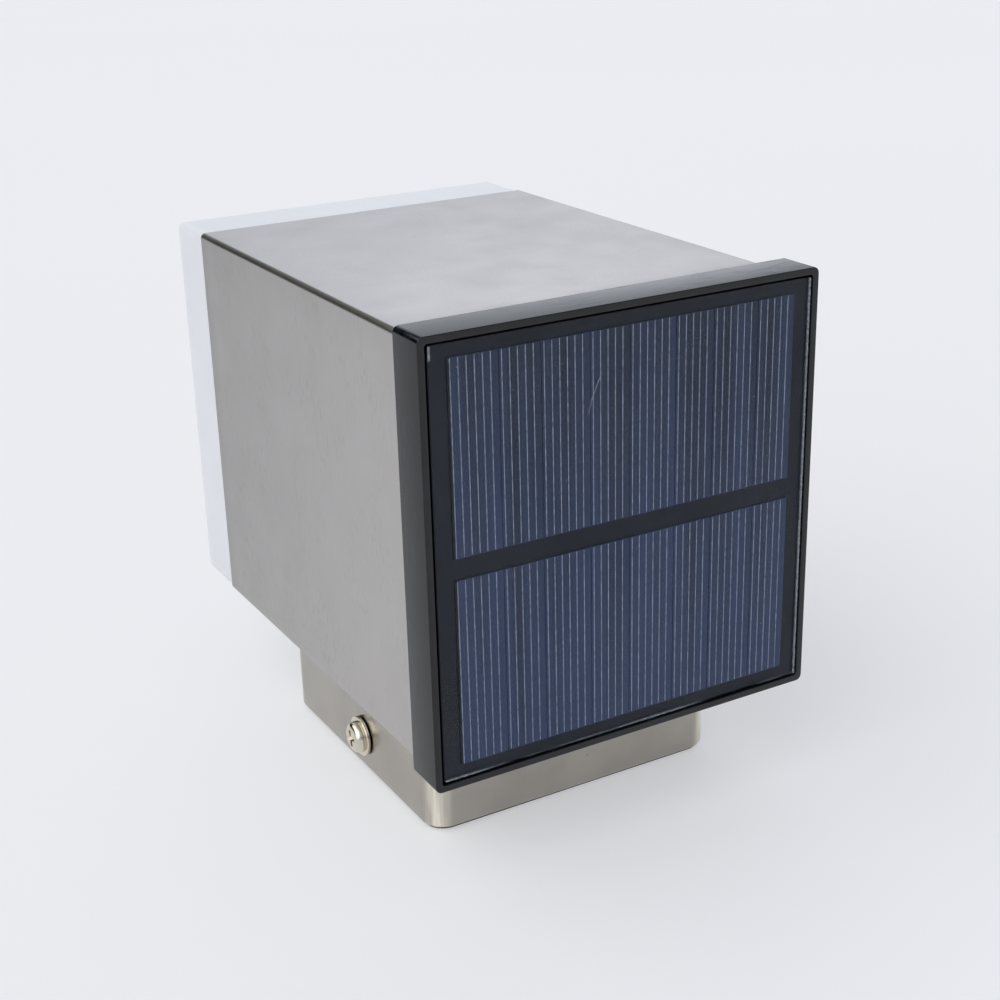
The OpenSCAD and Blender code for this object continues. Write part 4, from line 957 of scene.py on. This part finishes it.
class WALLLIGHT_OT_fasteners(bpy.types.Operator):
    """Makes the two clamp screws with their threads and cross recesses, and their washers"""
    bl_idname = "wall_light.fasteners"
    bl_label = "Clamp screws"

    # How far the recess is turned about the screw's axis, as photographed
    turn = math.radians(12)
    # The recess's length and width at its bottom, as shares of those at its mouth
    recess_taper = (0.45, 0.7, 1)
    # The profile of the pan head's shoulder, the thread's crest as a share of its pitch, and its steps a turn
    shoulder_profile = 0.55
    thread_crest = 0.2
    thread_steps = 32

    def execute(self, context):
        for side, way in (("right", 1), ("left", -1)):
            for kind, name, make in (
                    ("screw", "pan_head_screw", self.make_screw),
                    ("washer", "flat_washer", self.make_washer)):
                node = f"{side}_clamp_{kind}"
                low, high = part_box(node)
                piece = make()
                piece.name = f"{side}_{name}"
                piece.location = (high.x if way > 0 else low.x, *middle_of(node).yz)
                piece.rotation_euler = (Matrix.Rotation(way * math.pi / 2, 3, "Y")
                                        @ Matrix.Rotation(self.turn, 3, "Z")).to_euler()
                dress(settle(piece), f"{side}_{kind}", "nickel_plate", node)
        return {"FINISHED"}

    def make_screw(self):
        """A pan-head screw along z, the top of its head at the origin."""
        size = sizes()
        low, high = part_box("right_clamp_screw")
        radius = (high.z - low.z) / 2
        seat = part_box("right_clamp_washer")[1].x - high.x
        end = low.x - high.x
        head = add_rod("screw", radius, (0, 0, seat), (0, 0, 0))
        round_off(head, lambda edge: lies(edge, Z, 0), size.head_round, 10, profile=self.shoulder_profile)
        round_off(head, lambda edge: lies(edge, Z, seat), size.cut_soft, 2)
        for turn in (0, math.pi / 2):
            half = Vector((size.recess_length / 2, size.recess_width / 2, size.recess_depth))
            cross = add_block("cross", -half, half)
            pick(cross, "FACE", lambda face: lies(face, Z, -half.z))
            bpy.ops.transform.resize(value=self.recess_taper, center_override=(0, 0, -half.z))
            start_fresh(cross)
            cross.rotation_euler.z = turn
            combine(head, settle(cross), "DIFFERENCE")
        thread = self.make_thread(seat + size.thread_pitch / 2, end)
        screw = joined([head, thread])
        mend(screw, bpy.ops.mesh.normals_make_consistent, inside=False)
        return screw

    def make_thread(self, top, end):
        """The thread from end up to top: its outline run round and up by the pitch, with closed ends."""
        size = sizes()
        turns = math.floor((top - end) / size.thread_pitch) - 1
        start_fresh()
        width = size.thread_radius - size.thread_root
        bpy.ops.mesh.primitive_plane_add(
            size=1, location=(size.thread_root + width / 2, 0, end + size.thread_pitch / 2),
            rotation=(math.pi / 2, 0, 0))
        thread = bpy.context.object
        thread.name = "thread"
        thread.scale = (width, size.thread_pitch, 1)
        settle(thread)
        pick(thread, "FACE", lambda face: True)
        bpy.ops.mesh.delete(type="ONLY_FACE")
        pick(thread, "EDGE", lambda edge: lies(edge, X, size.thread_root))
        bpy.ops.mesh.delete(type="EDGE")
        pick(thread, "EDGE", lambda edge: lies(edge, X, size.thread_radius))
        bpy.ops.transform.resize(value=(1, 1, self.thread_crest))
        modify(thread, "SCREW", axis="Z", angle=2 * math.pi, screw_offset=size.thread_pitch, iterations=turns,
               steps=self.thread_steps, render_steps=self.thread_steps, use_merge_vertices=True,
               merge_threshold=SAME, use_smooth_shade=False)
        mend(thread, bpy.ops.mesh.fill_holes, sides=0)
        return thread

    def make_washer(self):
        """A flat washer along z, its outer face at the origin."""
        size = sizes()
        low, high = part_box("right_clamp_washer")
        radius, thick = (high.z - low.z) / 2, high.x - low.x
        washer = add_rod("washer", radius, (0, 0, -thick), (0, 0, 0))
        pick(washer, "FACE", lambda face: abs(face.normal.z) > ALONG)
        bpy.ops.mesh.inset(thickness=radius - size.washer_bore, depth=0)
        bpy.ops.mesh.bridge_edge_loops()
        round_off(washer, turns, 1.5 * size.cut_soft, 3)
        mend(washer, bpy.ops.mesh.normals_make_consistent, inside=False)
        return washer


class WALLLIGHT_OT_inner_pieces(bpy.types.Operator):
    """Gives every CAD node the finish of its material slot"""
    bl_idname = "wall_light.inner_pieces"
    bl_label = "Finishes of the other pieces"

    def execute(self, context):
        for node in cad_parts.values():
            for slot in node.material_slots:
                slot.material = finish(FINISHES[slot.material.name.split(".")[0]])
        return {"FINISHED"}


# Studio

class WALLLIGHT_OT_stage(bpy.types.Operator):
    """Sets up the pale floor, the soft studio light and the camera"""
    bl_idname = "wall_light.stage"
    bl_label = "Studio"

    def execute(self, context):
        self.lay_floor()
        self.light_room()
        self.hang_lamps()
        self.aim_camera()
        context.scene.view_settings.view_transform = "Standard"
        return {"FINISHED"}

    # Half the floor's side, and how far the floor lies under the part, in metres
    floor_reach = 8.0
    floor_gap = 0.0002
    # How much of what the camera and gloss see of the floor is an even glow of this strength
    floor_glow = 0.37
    glow_strength = 1.2
    # The camera: its place, its view and its upward side, in metres in the frame, and its lens in millimetres
    camera_place = (-0.19125, -0.34465, 0.21744)
    camera_view = (0.45679, 0.81129, -0.36491)
    camera_up = (0.20220, 0.30477, 0.93071)
    camera_lens = 60.70
    # The camera's sensor, in millimetres, and the nearest thing that it sees, in metres
    sensor_width = 36
    nearest = 0.01
    # Each lamp: its name, where its light comes from, how many degrees wide it looks, and its strength
    lamps = (
        ("side_lamp", (-0.85, -0.30, 0.60), 70, 1.45),
        ("rear_lamp", (-0.50, 0.45, 0.75), 45, 0.62),
    )

    # The room as the camera sees it, and the even light that it throws
    seen_strength = 0.86
    room_strength = 0.5
    # Where the room is brighter or darker than that: the middle of each patch, the cosines at which it starts
    # and is full, and what it adds
    room_light = (
        ((0.36, 0.88, 0.32), 0.87, 0.98, 1.05),
        ((0.0, 0.0, 1.0), 0.4, 0.95, 0.14),
        ((-0.52, 0.85, 0.14), 0.40, 0.86, -0.5),
    )

    def lay_floor(self):
        """A large pale floor just under the part."""
        start_fresh()
        bpy.ops.mesh.primitive_plane_add(size=2 * self.floor_reach, location=(0, 0, -self.floor_gap))
        floor = bpy.context.object
        floor.name = "studio_floor"
        settle(floor)
        material, tree, place, shader = surface("matt_paper", {"Roughness": 0.9, "Specular IOR Level": 0.1})
        tone = lay_colours(tree, times(colours().floor, 0.97), (patches(tree, place, 0.9), colours().floor))
        fill(tree, shader, {"Base Color": tone})
        rays = add_node(tree, "LightPath").outputs
        seen = rays["Is Camera Ray"]
        for ray in ("Is Glossy Ray", "Is Transmission Ray"):
            seen = add_node(tree, "Math", {0: seen, 1: rays[ray]}, operation="MAXIMUM")
        share = add_node(tree, "Math", {0: seen, 1: self.floor_glow}, operation="MULTIPLY")
        glow = add_node(tree, "Emission", {"Color": linear("#F3F4F7"), "Strength": self.glow_strength})
        mix = add_node(tree, "MixShader", {0: share, 1: shader, 2: glow})
        output = [node for node in tree.nodes if node.type == "OUTPUT_MATERIAL"][0]
        fill(tree, output, {"Surface": mix})
        floor.data.materials.append(material)

    def light_room(self):
        """A dim even room with one bright patch behind and above, a faint glow overhead and a dark gap
        behind on the left. The camera sees it as plain and pale."""
        world = bpy.data.worlds.new("studio_room")
        bpy.context.scene.world = world
        world.use_nodes = True
        tree = world.node_tree
        tree.nodes.clear()
        way = add_node(tree, "TexCoord").outputs["Generated"]
        total = self.room_strength
        for centre, start, full, strength in self.room_light:
            near = add_node(tree, "VectorMath", {
                0: way, 1: Vector(centre).normalized()}, operation="DOT_PRODUCT")
            patch = add_node(tree, "MapRange", {
                "Value": near, "From Min": start, "From Max": full, "To Max": strength},
                interpolation_type="SMOOTHSTEP")
            total = add_node(tree, "Math", {0: total, 1: patch}, operation="ADD")
        sight = add_node(tree, "LightPath").outputs["Is Camera Ray"]
        shown = add_node(tree, "Mix", {
            "Factor_Float": sight, "A_Float": total, "B_Float": self.seen_strength}, data_type="FLOAT")
        light = add_node(tree, "Background", {"Color": linear("#F1F6FF"), "Strength": shown})
        add_node(tree, "OutputWorld", {"Surface": light})

    def hang_lamps(self):
        """Two wide soft lamps: one on the left, and a weaker one above the part and behind it."""
        for name, way, width, strength in self.lamps:
            start_fresh()
            turn = Vector(way).to_track_quat("Z", "Y").to_euler()
            bpy.ops.object.light_add(type="SUN", rotation=turn, location=way)
            lamp = bpy.context.object
            lamp.name = name
            lamp.data.energy = strength
            lamp.data.angle = math.radians(width)

    def aim_camera(self):
        """The camera, at the photograph's viewing angle."""
        start_fresh()
        bpy.ops.object.camera_add(location=self.camera_place)
        camera = bpy.context.object
        forward, up = Vector(self.camera_view).normalized(), Vector(self.camera_up).normalized()
        right = forward.cross(up).normalized()
        camera.rotation_euler = Matrix((right, right.cross(forward), -forward)).transposed().to_euler()
        camera.data.sensor_width = self.sensor_width
        camera.data.lens = self.camera_lens
        camera.data.clip_start = self.nearest
        bpy.context.scene.camera = camera


class WALLLIGHT_PT_panel(bpy.types.Panel):
    """Lists the pieces to make and the sizes and colours to set"""
    bl_idname = "WALLLIGHT_PT_panel"
    bl_label = "Solar Wall Light"
    bl_space_type = "VIEW_3D"
    bl_region_type = "UI"
    bl_category = "Wall Light"

    def draw(self, context):
        layout = self.layout
        for operator in OPERATORS:
            layout.operator(operator.bl_idname)
        for group in (sizes(), colours()):
            box = layout.box()
            for name in group.__annotations__:
                box.prop(group, name)


OPERATORS = (
    WALLLIGHT_OT_inner_pieces, WALLLIGHT_OT_body, WALLLIGHT_OT_wall_box, WALLLIGHT_OT_bezel,
    WALLLIGHT_OT_panel, WALLLIGHT_OT_fasteners, WALLLIGHT_OT_stage)
CLASSES = (WallLightSizes, WallLightColours, *OPERATORS, WALLLIGHT_PT_panel)


def register():
    """Registers the classes and hangs the sizes and colours on the scene."""
    for cls in CLASSES:
        bpy.utils.register_class(cls)
    bpy.types.Scene.wall_light_sizes = PointerProperty(type=WallLightSizes)
    bpy.types.Scene.wall_light_colours = PointerProperty(type=WallLightColours)


def unregister():
    """Undoes register."""
    del bpy.types.Scene.wall_light_colours
    del bpy.types.Scene.wall_light_sizes
    for cls in reversed(CLASSES):
        bpy.utils.unregister_class(cls)


def main():
    """Makes the whole wall light and its studio."""
    register()
    for operator in OPERATORS:
        group, name = operator.bl_idname.split(".")
        getattr(getattr(bpy.ops, group), name)()
    start_fresh()


if __name__ == "__main__":
    main()
